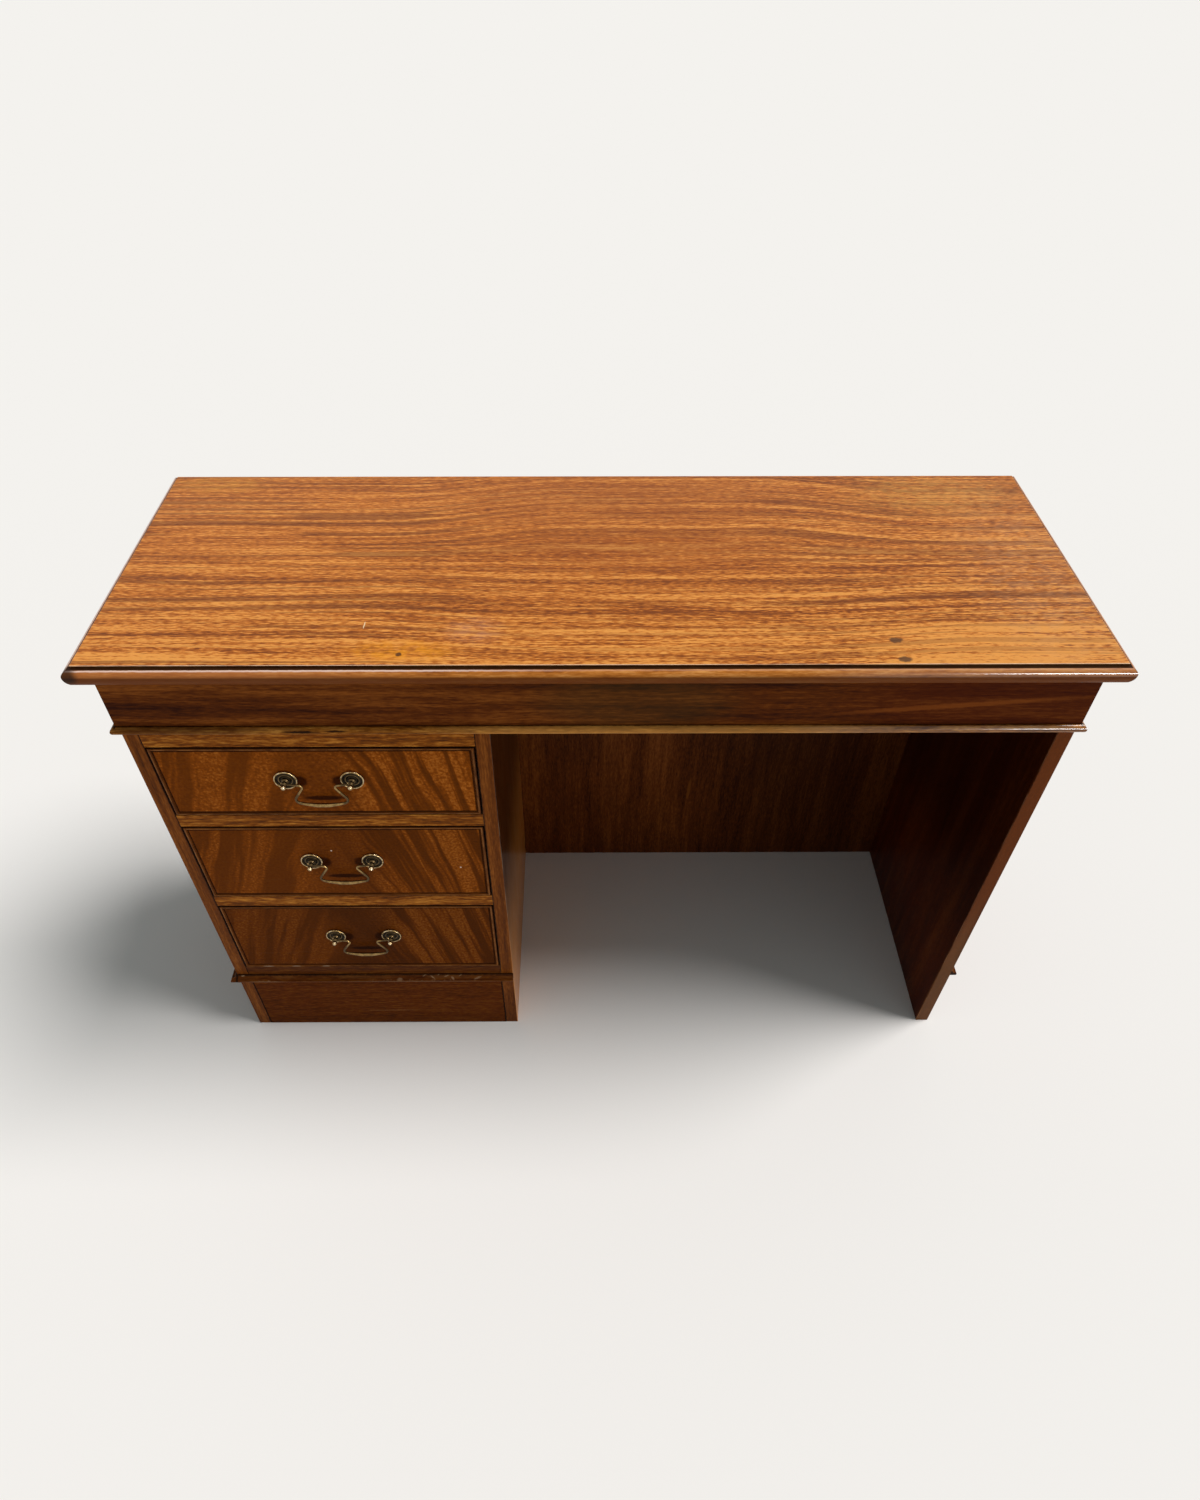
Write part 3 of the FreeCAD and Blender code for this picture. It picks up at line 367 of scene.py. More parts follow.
def rounded_edges(tree, sharp=0.97, turned=0.80):
    """One where a face has turned away from the three main directions, on an eased edge."""
    size = add(tree, "VectorMath", [(add(tree, "TexCoord"), "Normal")], operation="ABSOLUTE")
    parts = add(tree, "SeparateXYZ", [size])
    most = add(tree, "Math", [(parts, 0), (parts, 1)], operation="MAXIMUM")
    most = add(tree, "Math", [most, (parts, 2)], operation="MAXIMUM")
    return ramp(tree, most, sharp, turned)


print("lacquer ready")

# %% [markdown]
# A board of the desk brings all of this together: the figure in its tones, the open pores, the
# wear on its rounded edges, and the marks of its own life. It is written once, and each board
# gives it the direction of its grain, its tones and its marks.

# %% A mahogany board
def board(tree, along, tones, layers=BOARD, shift=0.0, worn="#C08A50", wear=0.5, marks=()):
    """The numbers of the place, the colour of a mahogany board, and its open pores. A mark is
    (centre, half sizes, colour, strength, tilt)."""
    place, numbers = place_on_desk(tree)
    point = along_grain(tree, numbers, along, shift=shift)
    colour = toned(tree, figure(tree, point, layers, shift), tones)
    open_pores = pores(tree, point, shift)
    colour = stain(tree, colour, open_pores, tones[0], 0.45)
    patchy = ramp(tree, streaks(tree, point, 40, 9, 2.0, shift + 7), 0.42, 0.60)
    rubbed = add(tree, "Math", [rounded_edges(tree), patchy], operation="MULTIPLY")
    colour = stain(tree, colour, rubbed, worn, wear)
    ragged = uneven(tree, place, 0.5, 5)
    for centre, half, over, strength, tilt in marks:
        spot = mark(tree, ragged, centre, half, tilt=tilt)
        colour = stain(tree, colour, spot, over, strength)
    return numbers, colour, open_pores


def mahogany(name, *of_board, roughness=0.34, gloss=0.03, polished=None, **more_of_board):
    """A lacquered mahogany board. Where polished is given, hands have polished the board to a
    glassy shine, which grows from the first of its two places across the desk to the second."""
    material, tree, output = new_material(name)
    numbers, colour, open_pores = board(tree, *of_board, **more_of_board)
    shine = ramp(tree, (numbers, "X"), *polished, 0.0, 0.7) if polished else 0.0
    lacquer(tree, output, colour, open_pores, roughness, gloss, shine)
    return material


print("mahogany board ready")

# %% [markdown]
# The top is one wide flat-sawn board. Where the saw met the rings flatly they close into a long
# lens with a point at each end, and outside it the grain runs round the lens. A number that is
# constant along each line of the grain draws this: far away it is simply the distance across the
# board, and near the middle a soft step is taken from it, so that the lines part. The broad
# ribbons follow that number. The fine threads and flecks keep to the board's own length.

# %% The figure of the top
LENS_LEFT, LENS_RIGHT = (-260, -30), (430, 200)  # where its ends begin and are fully open
LENS_HALF, LENS_REACH = 40, 58.0
LENS_PUSH = (-16.0, -38.0)  # on its front side and on its back side
RIBBON_DRIFT, THREAD_DRIFT = 2.6, 1.6

top_finish, tree, output = new_material("lacquered_mahogany_top")
place, numbers = place_on_desk(tree)
sideways, across = (numbers, "X"), (numbers, "Y")
opened = add(tree, "Math", [ramp(tree, sideways, *LENS_LEFT), ramp(tree, sideways, *LENS_RIGHT)],
             operation="MULTIPLY")
step = add(tree, "Math", [across, LENS_REACH], operation="DIVIDE")
step = add(tree, "Math", [step], operation="TANH")
step = add(tree, "Math", [step, opened], operation="MULTIPLY")
push = ramp(tree, across, -LENS_HALF, LENS_HALF, *LENS_PUSH)
ring = add(tree, "Math", [step, push, across], operation="MULTIPLY_ADD")
parted = add(tree, "SeparateXYZ", [add(tree, "CombineXYZ", [sideways, ring, (numbers, "Z")])])
ribbon_point = along_grain(tree, parted, "X", RIBBON_DRIFT)
point = along_grain(tree, numbers, "X", THREAD_DRIFT)
print("lens of the top:", LENS_LEFT[0], "to", LENS_RIGHT[0], "mm")

# %% [markdown]
# The contrast of the figure grows towards the front and towards the right. The top is painted
# lighter along the front, most of all in a patch at the front right, and a little at the left end:
# a painted sheen of light on the lacquer. On the left dark stripes run between the ribbons. They
# grow soft towards the middle and come back on the right.

# %% The tones of the top
TOP_TONES = ("#7A3C0E", "#9C5216", "#B86822", "#D07F34", "#E59A48")
TOP_RIBBONS = ((900, 11, 1.0), (260, 5.0, 0.8))
TOP_THREADS = ((110, 2.3, 1.1), (9, 1.6, 1.8))
TOP_Z = cad_box[1][2] * MM

level = add(tree, "Math", [
    figure(tree, ribbon_point, TOP_RIBBONS), figure(tree, point, TOP_THREADS, 50)])
level = add(tree, "Math", [level, 1.0], operation="SUBTRACT")
contrast = ramp(tree, across, 120, -170, 1.0, 1.5)
contrast = add(tree, "Math", [contrast, ramp(tree, sideways, 80, 300, 1.0, 1.3)],
               operation="MULTIPLY")
level = add(tree, "Math", [level, contrast, 0.5], operation="MULTIPLY_ADD")
# painted sheen on the lacquer: lighter along the front, in a patch at the front right and at the
# left end
painted_sheen_patch = mark(tree, place, (440, -185, TOP_Z), (230, 90, ANY), 0.8)
for patch, amount in (
        (ramp(tree, across, -90, -200), 0.20),
        (mark(tree, place, (-440, -90, TOP_Z), (330, 190, ANY), 0.8), 0.12),
        (painted_sheen_patch, 0.62)):
    level = add(tree, "Math", [patch, amount, level], operation="MULTIPLY_ADD")
colour = toned(tree, level, TOP_TONES)

stripes = ramp(tree, streaks(tree, ribbon_point, 1300, 6.5, 1.0, 40), 0.45, 0.38)
left_stripes = ramp(tree, sideways, -250, -40, 1.0, 0.45)
right_stripes = ramp(tree, sideways, 60, 260, 0.0, 0.8)
shown = add(tree, "Math", [left_stripes, right_stripes], operation="MAXIMUM")
outside_sheen_patch = add(tree, "Math", [painted_sheen_patch, -0.2, 1.0], operation="MULTIPLY_ADD")
shown = add(tree, "Math", [shown, outside_sheen_patch], operation="MULTIPLY")
stripes = add(tree, "Math", [stripes, shown], operation="MULTIPLY")
colour = stain(tree, colour, stripes, "#6E3810", 0.55)
open_pores = pores(tree, point)
colour = stain(tree, colour, open_pores, "#6B3510", 0.35)
print("surface of the top at", round(TOP_Z, 1), "mm")

# %% [markdown]
# The desk has been used. Broad soft blotches lie in the finish, greener and paler at the right end
# and darker along the middle and the back, with a hazy bloom where something warm stood and a
# smudge. Two bright yellow patches among them, at the front left and at the back left, are a
# painted sheen. On them are small crisp marks: two knots, a dot and one short pale scratch.

# %% The marks of the top
TOP_BLOTCHES_AND_SHEEN = (  # place, half sizes, colour, strength
    ((440, 150), (150, 70), "#D8A04C", 0.35), ((520, -40), (120, 260), "#D9A878", 0.18),
    # the two yellow patches on this line, at the front left and the back left, are painted sheen
    ((-215, -176), (85, 26), "#F09A18", 0.55), ((-500, 178), (90, 34), "#D08C30", 0.40),
    ((40, 140), (300, 90), "#8A4412", 0.40), ((60, 20), (260, 70), "#96480E", 0.35))
BLOOM = ((-139, -140), (42, 34), "#E0A888", 0.20)
SMUDGE = ((-207, -8), (9, 22), "#6E3512", 0.45)
DOT, SCRATCH = ((-216.6, -182), (4.5, 4), "#4A2610"), ((-261.4, -129.6), (0.9, 7.5), "#F4DCB0")
KNOTS = ((322.6, -159), (9.5, 6), "#5A3A22"), ((325, -192), (9, 6), "#5A3A22")
soft_marks_and_sheen, crisp_marks = (*TOP_BLOTCHES_AND_SHEEN, BLOOM, SMUDGE), (DOT, *KNOTS, SCRATCH)

ragged = uneven(tree, place, 2.2, 9)
mottled = ramp(tree, streaks(tree, place, 14, 9, 3.0, 3), 0.36, 0.62, 0.25, 1.0)
for spot, half, over, strength in soft_marks_and_sheen:
    soft = mark(tree, ragged, (*spot, TOP_Z), (*half, ANY), 0.75)
    spread = add(tree, "Math", [soft, mottled], operation="MULTIPLY")
    colour = stain(tree, colour, spread, over, strength)
for spot, half, over in crisp_marks:
    small = mark(tree, uneven(tree, place, 1.0, 5), (*spot, TOP_Z), (*half, ANY), 0.45)
    colour = stain(tree, colour, small, over, 0.9)
print(len(soft_marks_and_sheen), "soft marks and", len(crisp_marks), "crisp ones on the top")

# %% [markdown]
# The edge of the board is pale where it turns over, though not evenly: it is rubbed, and it carries
# a painted highlight. Its upright side is almost black, and the underside is a plain brown.

# %% The edge of the top
patchy = ramp(tree, streaks(tree, point, 60, 9, 2.0, 7), 0.30, 0.50, 0.5, 1.0)
rubbed = add(tree, "Math", [rounded_edges(tree), patchy], operation="MULTIPLY")
# the pale edge is partly wear and partly a painted highlight
colour = stain(tree, colour, rubbed, "#F8DCBC", 0.9)
upwards = (add(tree, "SeparateXYZ", [(add(tree, "TexCoord"), "Normal")]), "Z")
colour = stain(tree, colour, ramp(tree, upwards, 0.35, 0.1), "#1C0E08", 0.9)
colour = stain(tree, colour, ramp(tree, upwards, -0.5, -0.9), "#3C2A1C")
lacquer(tree, output, colour, open_pores, 0.30, 0.12)
lay_on(top_finish, "top_board")

# %% [markdown]
# The moulding round the top, the frieze and its bead are mitred frames: each side has its grain
# along its own length, and on the moulding a thin dark line of glue and polish shows at each
# corner. How far a point lies beyond a corner of the board inside the frame, sideways and to the
# front or back, tells how far out it is, and the two are equal on the mitre.

# %% Mitred frames
def beyond(tree, numbers, corner):
    """How far a point lies beyond the corner, to the side and to the front or back."""
    return [add(tree, "Math", [add(tree, "Math", [(numbers, axis)], operation="ABSOLUTE"), reach],
                operation="SUBTRACT") for axis, reach in zip("XY", corner)]


def out_from(tree, numbers, corner):
    """How far a point stands out from the frame's inner face."""
    return add(tree, "Math", beyond(tree, numbers, corner), operation="MAXIMUM")


def mitre_line(tree, numbers, corner, width=0.7):
    """One on the joint where two sides meet at 45 degrees. corner is where the inner faces meet."""
    apart = add(tree, "Math", beyond(tree, numbers, corner), operation="SUBTRACT")
    return ramp(tree, add(tree, "Math", [apart], operation="ABSOLUTE"), width, width / 2)


TOP_CORNER = [span(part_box("top_board"), axis)[1] for axis in "XY"]
print("the frame of the top starts in mm at", [round(reach, 1) for reach in TOP_CORNER])

# %% [markdown]
# The nose of the moulding is where hands and chairs rub. Its upper bend has a ragged pinkish line,
# strongest on the left, partly wear and partly a painted highlight. Below the bend it is painted
# darker, as shade, and the groove against the board is nearly black. At the right the nose has a
# glassy shine, and the front left corner is nearly black.

# %% Moulding of the top
MOULDING_TONES = ("#94521C", "#C07630", "#E09C54")
BEND_Z = TOP_Z - 8.5  # the height at which the nose's upper bend ends


def bend_wear_and_highlight(tree, place, numbers, out, shift):
    """One on the ragged pale line along the upper bend of the nose, partly wear and partly a
    painted highlight.
    """
    ragged = add(tree, "Math", [streaks(tree, place, 6, 6, 2.0, shift), 1.2, out],
                 operation="MULTIPLY_ADD")
    line = add(tree, "Math", [ramp(tree, ragged, 4.0, 4.6), ramp(tree, ragged, 6.6, 5.4)],
               operation="MULTIPLY")
    above = ramp(tree, (numbers, "Z"), BEND_Z, BEND_Z + 1.0)
    stronger = ramp(tree, (numbers, "X"), 0, -200, 0.2, 1.0)
    above = add(tree, "Math", [above, stronger], operation="MULTIPLY")
    return add(tree, "Math", [line, above], operation="MULTIPLY")


def glassy_nose(tree, numbers, out):
    """One where the right end of the nose has a glassy shine."""
    shine = add(tree, "Math", [ramp(tree, out, 5.0, 6.5), ramp(tree, (numbers, "X"), 200, 320)],
                operation="MULTIPLY")
    return add(tree, "Math", [shine, ramp(tree, (numbers, "Z"), BEND_Z - 4.0, BEND_Z - 2.0)],
               operation="MULTIPLY")


def moulding_finish(along, shift):
    """Lacquered mahogany for two sides of the moulding, redder left and browner right."""
    material, tree, output = new_material(f"lacquered_mahogany_moulding_{along}")
    place, numbers = place_on_desk(tree)
    point = along_grain(tree, numbers, along, 1.5, shift)
    colour = toned(tree, figure(tree, point, RAIL_GRAIN, shift), MOULDING_TONES)
    open_pores = pores(tree, point, shift)
    out = out_from(tree, numbers, TOP_CORNER)
    for amount, over, strength in (
            (open_pores, MOULDING_TONES[0], 0.4),
            (ramp(tree, (numbers, "X"), -120, -380, 0.0, 0.55), "#B06A40", 1.0),
            (ramp(tree, (numbers, "X"), 150, 380), "#7A4426", 0.20),
            # painted shade below the bend
            (ramp(tree, (numbers, "Z"), BEND_Z, BEND_Z - 3.5), "#5A2804", 0.85),
            (ramp(tree, out, 4.0, 3.0), "#180B06", 0.95),
            # the line on the bend: partly wear, partly a painted highlight
            (bend_wear_and_highlight(tree, place, numbers, out, shift), "#F0D8CC", 0.72),
            (mark(tree, place, (-566, -205, BEND_Z - 1.5), (15, 14, 14)), "#2E2018", 0.85),
            (mitre_line(tree, numbers, TOP_CORNER), "#2A1408", 0.7)):
        colour = stain(tree, colour, amount, over, strength)
    lacquer(tree, output, colour, open_pores, 0.30, 0.03, glassy_nose(tree, numbers, out))
    return material


for along, ends, shift in (("X", ("front", "back"), 9), ("Y", ("left", "right"), 21)):
    lay_on(moulding_finish(along, shift), *[f"top_moulding_{end}" for end in ends])

# %% [markdown]
# The frieze under the top is darker than the rest, with faint streaks. Its bead is a rail that
# stands proud of it, with a rounded edge where the polish has gone thin. The corner between the two
# is nearly black. The bead's upper face is painted gold over its middle, as light falling on it.
# It is darker at its left end, and it has two chips over the drawers.

# %% Frieze and bead
FRIEZE_TONES = ("#36160A", "#602E0C", "#8A4C1A")
BEAD_TONES = ("#4A2408", "#8E5418", "#CC8C3C")
BEAD_CORNER_DARK, CHIP = "#160802", "#1A0A04"
front_y = span(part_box("frieze_front"), "Y")[0]
side_x = span(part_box("frieze_left"), "X")[0]
bead_top = span(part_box("frieze_bead_front"), "Z")[1]
frieze_marks = (
    ((480, front_y, 700), (260, 60, 90), "#4A1404", 0.50, 0),
    ((40, front_y, 700), (150, 60, 60), "#4A3A1C", 0.30, 0),
    ((400, front_y, 693), (170, 20, 5), "#96501C", 0.50, 5))
bead_marks = [
    # painted light: the bead's upper face is gold over its middle
    ((80, front_y, 660), (330, 60, 60), "#E8A858", 0.35, 0),
    ((-480, front_y, 660), (130, 20, 12), "#3A1A0A", 0.60, 0),
    ((-342, front_y - 4, 660), (28, 7, 2.6), CHIP, 0.95, 0),
    ((-300, front_y - 4, 661), (17, 7, 1.8), CHIP, 0.9, 0)]
# the corner between frieze and bead is darkened
for x, y, half, over, strength in (
        (0, front_y, (ANY, 1.7, 1.7), BEAD_CORNER_DARK, 0.85),
        (side_x, 0, (1.7, ANY, 1.7), BEAD_CORNER_DARK, 0.85),
        (side_x, 0, (12, 170, 20), "#4A200A", 0.55)):
    bead_marks += [((side * x, side * y, bead_top), half, over, strength, 0) for side in (1, -1)]
for along, ends in (("X", ("front", "back")), ("Y", ("left", "right"))):
    lay_on(mahogany(f"lacquered_mahogany_frieze_{along}", along, FRIEZE_TONES, FRIEZE_GRAIN, 3,
                    wear=0.3, gloss=0.015, marks=frieze_marks),
           *[f"frieze_{end}" for end in ends])
    lay_on(mahogany(f"lacquered_mahogany_bead_{along}", along, BEAD_TONES, RAIL_GRAIN, 5,
                    worn="#C8904C", wear=0.25, polished=(180, 300), marks=bead_marks),
           *[f"frieze_bead_{end}" for end in ends])

# %% [markdown]
# The case is plain straight-grained mahogany, upright in the sides. Seen from the front, a fine
# dark joint runs up the inner edge of each side, where the drawers and the rails meet it.

# %% Outer side
CASE_TONES = ("#46220A", "#6E380C", "#94541C")
JOINT_LINE = "#1A0A04"
case_y = span(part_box("pedestal_outer_side"), "Y")[0]
well_left = span(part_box("pedestal_outer_side"), "X")[1]
well_right = span(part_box("pedestal_inner_side"), "X")[0]
joints = [((x, case_y, 400), (1.8, 4, ANY), JOINT_LINE, 0.9, 0) for x in (well_left, well_right)]
lay_on(mahogany("lacquered_mahogany_outer_side", "Z", CASE_TONES, BOARD, 13, wear=0.2,
                marks=joints), "pedestal_outer_side")

# %% [markdown]
# The inner side turns one face to the kneehole. That face is painted darker than the outer ones,
# as shade, and a warm painted reflection of the floor grows towards its foot. A thin glossy coat
# picks up the floor as well. Its eased edges are worn pale.

# %% Inner side
material, tree, output = new_material("lacquered_mahogany_inner_side")
numbers, colour, open_pores = board(tree, "Z", CASE_TONES, BOARD, 14, "#E8C8A0", 0.9, joints)
shaded_face = span(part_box("pedestal_inner_side"), "X")[1]
inside = ramp(tree, (numbers, "X"), shaded_face - 1.0, shaded_face - 0.4)
# painted shade on the face towards the kneehole
colour = stain(tree, colour, inside, "#220C04", 0.72)
foot = add(tree, "Math", [inside, ramp(tree, (numbers, "Z"), 400, 60)], operation="MULTIPLY")
# painted reflection of a warm floor, growing towards the foot
colour = stain(tree, colour, foot, "#D88C40", 0.85, "ADD")
polished = add(tree, "Math", [inside, 0.3], operation="MULTIPLY")
lacquer(tree, output, colour, open_pores, polished=polished, glassy=0.05)
lay_on(material, "pedestal_inner_side")

# %% [markdown]
# The end panel is the darkest and reddest board of the case. Its front edge is a little lighter,
# browner at the foot, and its face towards the kneehole is painted nearly black, as shade. The
# modesty panel closes the back of the kneehole. Its front face is painted darker on the right, most
# of all high up, as shade, and low on the left it has one light streak.

# %% End panel and modesty panel
END_TONES = ("#340F04", "#4A1A04", "#64300E")
MODESTY_TONES = ("#3C1A0A", "#623010", "#84481C")
shaded_face = span(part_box("end_panel"), "X")[0]
panel_y = span(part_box("modesty_panel"), "Y")[0]
lay_on(mahogany("lacquered_mahogany_end", "Z", END_TONES, PANEL_GRAIN, 17, "#D09A74", 0.8,
                marks=(((540, case_y, 520), (24, 4, 420), "#94501F", 0.38, 0),
                       ((540, case_y, 40), (24, 4, 330), "#96683E", 0.36, 0),
                       # painted shade on the face towards the kneehole
                       ((shaded_face, 0, 520), (1.5, ANY, 420), "#0C0200", 0.65, 0))),
       "end_panel")
lay_on(mahogany("lacquered_mahogany_panels", "Z", MODESTY_TONES, PANEL_GRAIN, 37, wear=0.3,
                marks=(((171, panel_y, 176), (4, 9, 36), "#8A4E1C", 0.6, -3),
                       # painted shade on the right and high up
                       ((430, panel_y, 400), (330, 9, 600), "#160602", 0.60, 0),
                       ((430, panel_y, 650), (240, 9, 130), "#160602", 0.60, 0))),
       "modesty_panel", "pedestal_back")

# %% [markdown]
# The rails between the drawers have their grain level, and their tones are painted lighter than
# anything else on the front, for the light they catch. Their eased edges are darkened, partly by
# grime and partly by painted shade in the gaps. The rail under the drawers is painted as dark as
# the plinth, as shade near the floor.

# %% Rails
RAIL_TONES = ("#40200A", "#8A4A0E", "#CC8430")
LOWER_SHADED_TONES = ("#3E1A06", "#5C2E0C", "#784614")
# the eased edges are darkened: grime, and painted shade in the gaps
lay_on(mahogany("lacquered_mahogany_rails", "X", RAIL_TONES, RAIL_GRAIN, 11, "#2A1206", 0.9),
       "upper_rail", "mid_rails")
# painted shade: the lower rail has darker tones
lay_on(mahogany("lacquered_mahogany_lower_rail", "X", LOWER_SHADED_TONES, RAIL_GRAIN, 19, wear=0.3),
       "lower_rail")

# %% [markdown]
# Shoes and brooms have been at the plinth. Its tones are darker than the case's, a painted shade
# near the floor. One long pale scratch runs low along its board. The moulding at its upper edge is
# nearly black in the corner where it meets the case, and it has short scuffs, where the lacquer is
# broken to bare wood.

# %% Plinth and its moulding
# painted shade near the floor: darker tones than the case
PLINTH_SHADED_TONES = ("#44200A", "#602C08", "#7A4212")
PLINTH_SCRATCH, SCUFFED, LIP_CORNER_TONE = "#9A6A3E", "#BE9C78", "#140802"
LIP_Z = span(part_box("plinth_moulding_front"), "Z")[0]
SCUFFS = (  # place, height over its lower edge, half length, tilt, strength
    (-262, 8, 5, 25, 0.4), (-250, 6, 6, -30, 0.4), (-241, 9, 3, 40, 0.5),
    (-228, 7, 6, 15, 0.45), (-219, 5, 4, -20, 0.4), (-207, 8, 5, 30, 0.4),
    (-300, 4, 6, 0, 0.3), (-180, 5, 8, 10, 0.3), (-505, 2.5, 40, 0, 0.4),
    (-280, 2.6, 150, 0, 0.25), (-541, 8, 4, 0, 0.9))
scratch = ((-327, case_y, 38), (57, 20, 1.1), PLINTH_SCRATCH, 0.6, 0.5)
lay_on(mahogany("lacquered_mahogany_plinth", "X", PLINTH_SHADED_TONES, PLINTH_GRAIN, 23, wear=0.2,
                gloss=0.01, marks=(scratch, *joints)), "plinth_board")
# the corner of the moulding against the case is darkened
dark_lip_corner = [((0, case_y, 150), (ANY, 2.4, ANY), LIP_CORNER_TONE, 0.85, 0),
               ((-550, 0, 150), (2.4, ANY, ANY), LIP_CORNER_TONE, 0.85, 0)]
scuffs = [((x, case_y - 6, LIP_Z + height), (half, 9, 1.2), SCUFFED, strength, tilt)
          for x, height, half, tilt, strength in SCUFFS]
for along, parts, shift in (("X", ("front",), 29), ("Y", ("left", "end"), 31)):
    lay_on(mahogany(f"lacquered_mahogany_plinth_moulding_{along}", along, LOWER_SHADED_TONES, RAIL_GRAIN,
                    shift, wear=0.08, marks=dark_lip_corner + scuffs),
           *[f"plinth_moulding_{part}" for part in parts])

# %% [markdown]
# The drawer fronts are veneered with flame mahogany, cut where a limb leaves the trunk. The figure
# climbs in a feather up the middle, and streaks sweep down and outwards from it, ever steeper. A
# number that is constant along each streak gives the sweep: the height plus a smooth hump of the
# distance from the middle. The right half is crisp, the left soft and the middle almost plain.

# %% The figure of the flame
FRONT_FACE = span(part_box("middle_drawer_front"), "Y")[0]
FLAME_MIDDLE = sum(span(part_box("middle_drawer_front"), "X")) / 2 + 4
FLAME_SPREAD, FLAME_DRIFT, FLAME_CLIMB = 90.0, 60.0, (3.8, 5.6)
FLAME_LAYERS = ((150, 75, 3.6), (90, 30, 1.7), (50, 12, 0.6))
FLAME_TONES = ("#482408", "#6E3608", "#8E480E", "#B86A24")


def flame_point(tree, numbers, shift):
    """How far a point is from the middle of the flame, and its place with the number that is
    constant along a streak as its second."""
    off = add(tree, "Math", [(numbers, "X"), FLAME_MIDDLE], operation="SUBTRACT")
    hump = add(tree, "Math", [off, off, FLAME_SPREAD ** 2], operation="MULTIPLY_ADD")
    hump = add(tree, "Math", [hump], operation="SQRT")
    climb = ramp(tree, off, -40, 40, *FLAME_CLIMB)
    sweep = add(tree, "Math", [hump, climb, (numbers, "Z")], operation="MULTIPLY_ADD")
    face = add(tree, "CombineXYZ", [(numbers, "X"), (numbers, "Z"), 0.0])
    drift = streaks(tree, face, 70, 90, 2.0, shift)
    sweep = add(tree, "Math", [drift, FLAME_DRIFT, sweep], operation="MULTIPLY_ADD")
    height = add(tree, "Math", [(numbers, "Z"), 0.2], operation="MULTIPLY")
    return off, add(tree, "CombineXYZ", [(numbers, "X"), sweep, height])


def flame_level(tree, place, off, point, shift):
    """How light the flame is, from 0 to 1. Its lighter streaks are the grainier ones."""
    right = ramp(tree, off, 8, 55, 0.14, 0.52)
    left = ramp(tree, off, -20, -80, 0.0, 0.18)
    crisp = add(tree, "Math", [right, left], operation="ADD")
    level = ramp(tree, figure(tree, point, FLAME_LAYERS, shift), 0.1, 0.9)
    level = add(tree, "Math", [level, 0.5], operation="SUBTRACT")
    level = add(tree, "Math", [level, crisp, 0.5], operation="MULTIPLY_ADD")
    specks = add(tree, "Math", [streaks(tree, place, 3.2, 3.2, 2.0, shift), 0.5],
                 operation="SUBTRACT")
    grainy = ramp(tree, level, 0.3, 0.7, 0.35, 1.1)
    specks = add(tree, "Math", [specks, grainy], operation="MULTIPLY")
    return add(tree, "Math", [specks, level])


print("middle of the flame at", round(FLAME_MIDDLE), "mm")

# %% [markdown]
# The veneer carries a painted shadow of each handle, under the grip and inside each post, and it
# is dark along the bead. Two flecks of white lie on the middle front. The lower fronts are painted
# darker, as shade, each by an amount of its own. Only the face is veneer. The edges and the back
# of a front are plain mahogany.

# %% Flame veneer
COCK_WIDTH = 4.5
GRIP_SHADOW, SHOULDER_SHADOW, SHOULDER_AWAY = (31, 9, 5), (11, 9, 12), 24
WHITE_FLECKS = ((-349, 440.5), (-182.5, 405))


def from_rim(tree, numbers, box):
    """How far a point lies inside the rim of a box, seen from the front, in millimetres."""
    gaps = []
    for axis in "XZ":
        low, high = span(box, axis)
        off = add(tree, "Math", [(numbers, axis), (low + high) / 2], operation="SUBTRACT")
        off = add(tree, "Math", [off], operation="ABSOLUTE")
        gaps.append(add(tree, "Math", [(high - low) / 2, off], operation="SUBTRACT"))
    return add(tree, "Math", gaps, operation="MINIMUM")


def painted_handle_shadows(tree, place, colour, stem):
    """The colour with the painted shadows of one handle, under the grip and inside each post."""
    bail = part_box(f"{stem}_drawer_handle_bail")
    centre = sum(span(bail, "X")) / 2
    foot, head = span(bail, "Z")
    for off, height, half in ((0, foot + 6, GRIP_SHADOW), (-SHOULDER_AWAY, head - 5, SHOULDER_SHADOW),
                              (SHOULDER_AWAY, head - 5, SHOULDER_SHADOW)):
        # a painted shadow of the handle on the veneer
        spot = mark(tree, place, (centre + off, FRONT_FACE, height), half, 0.45)
        colour = stain(tree, colour, spot, "#260600", 0.8)
    return colour


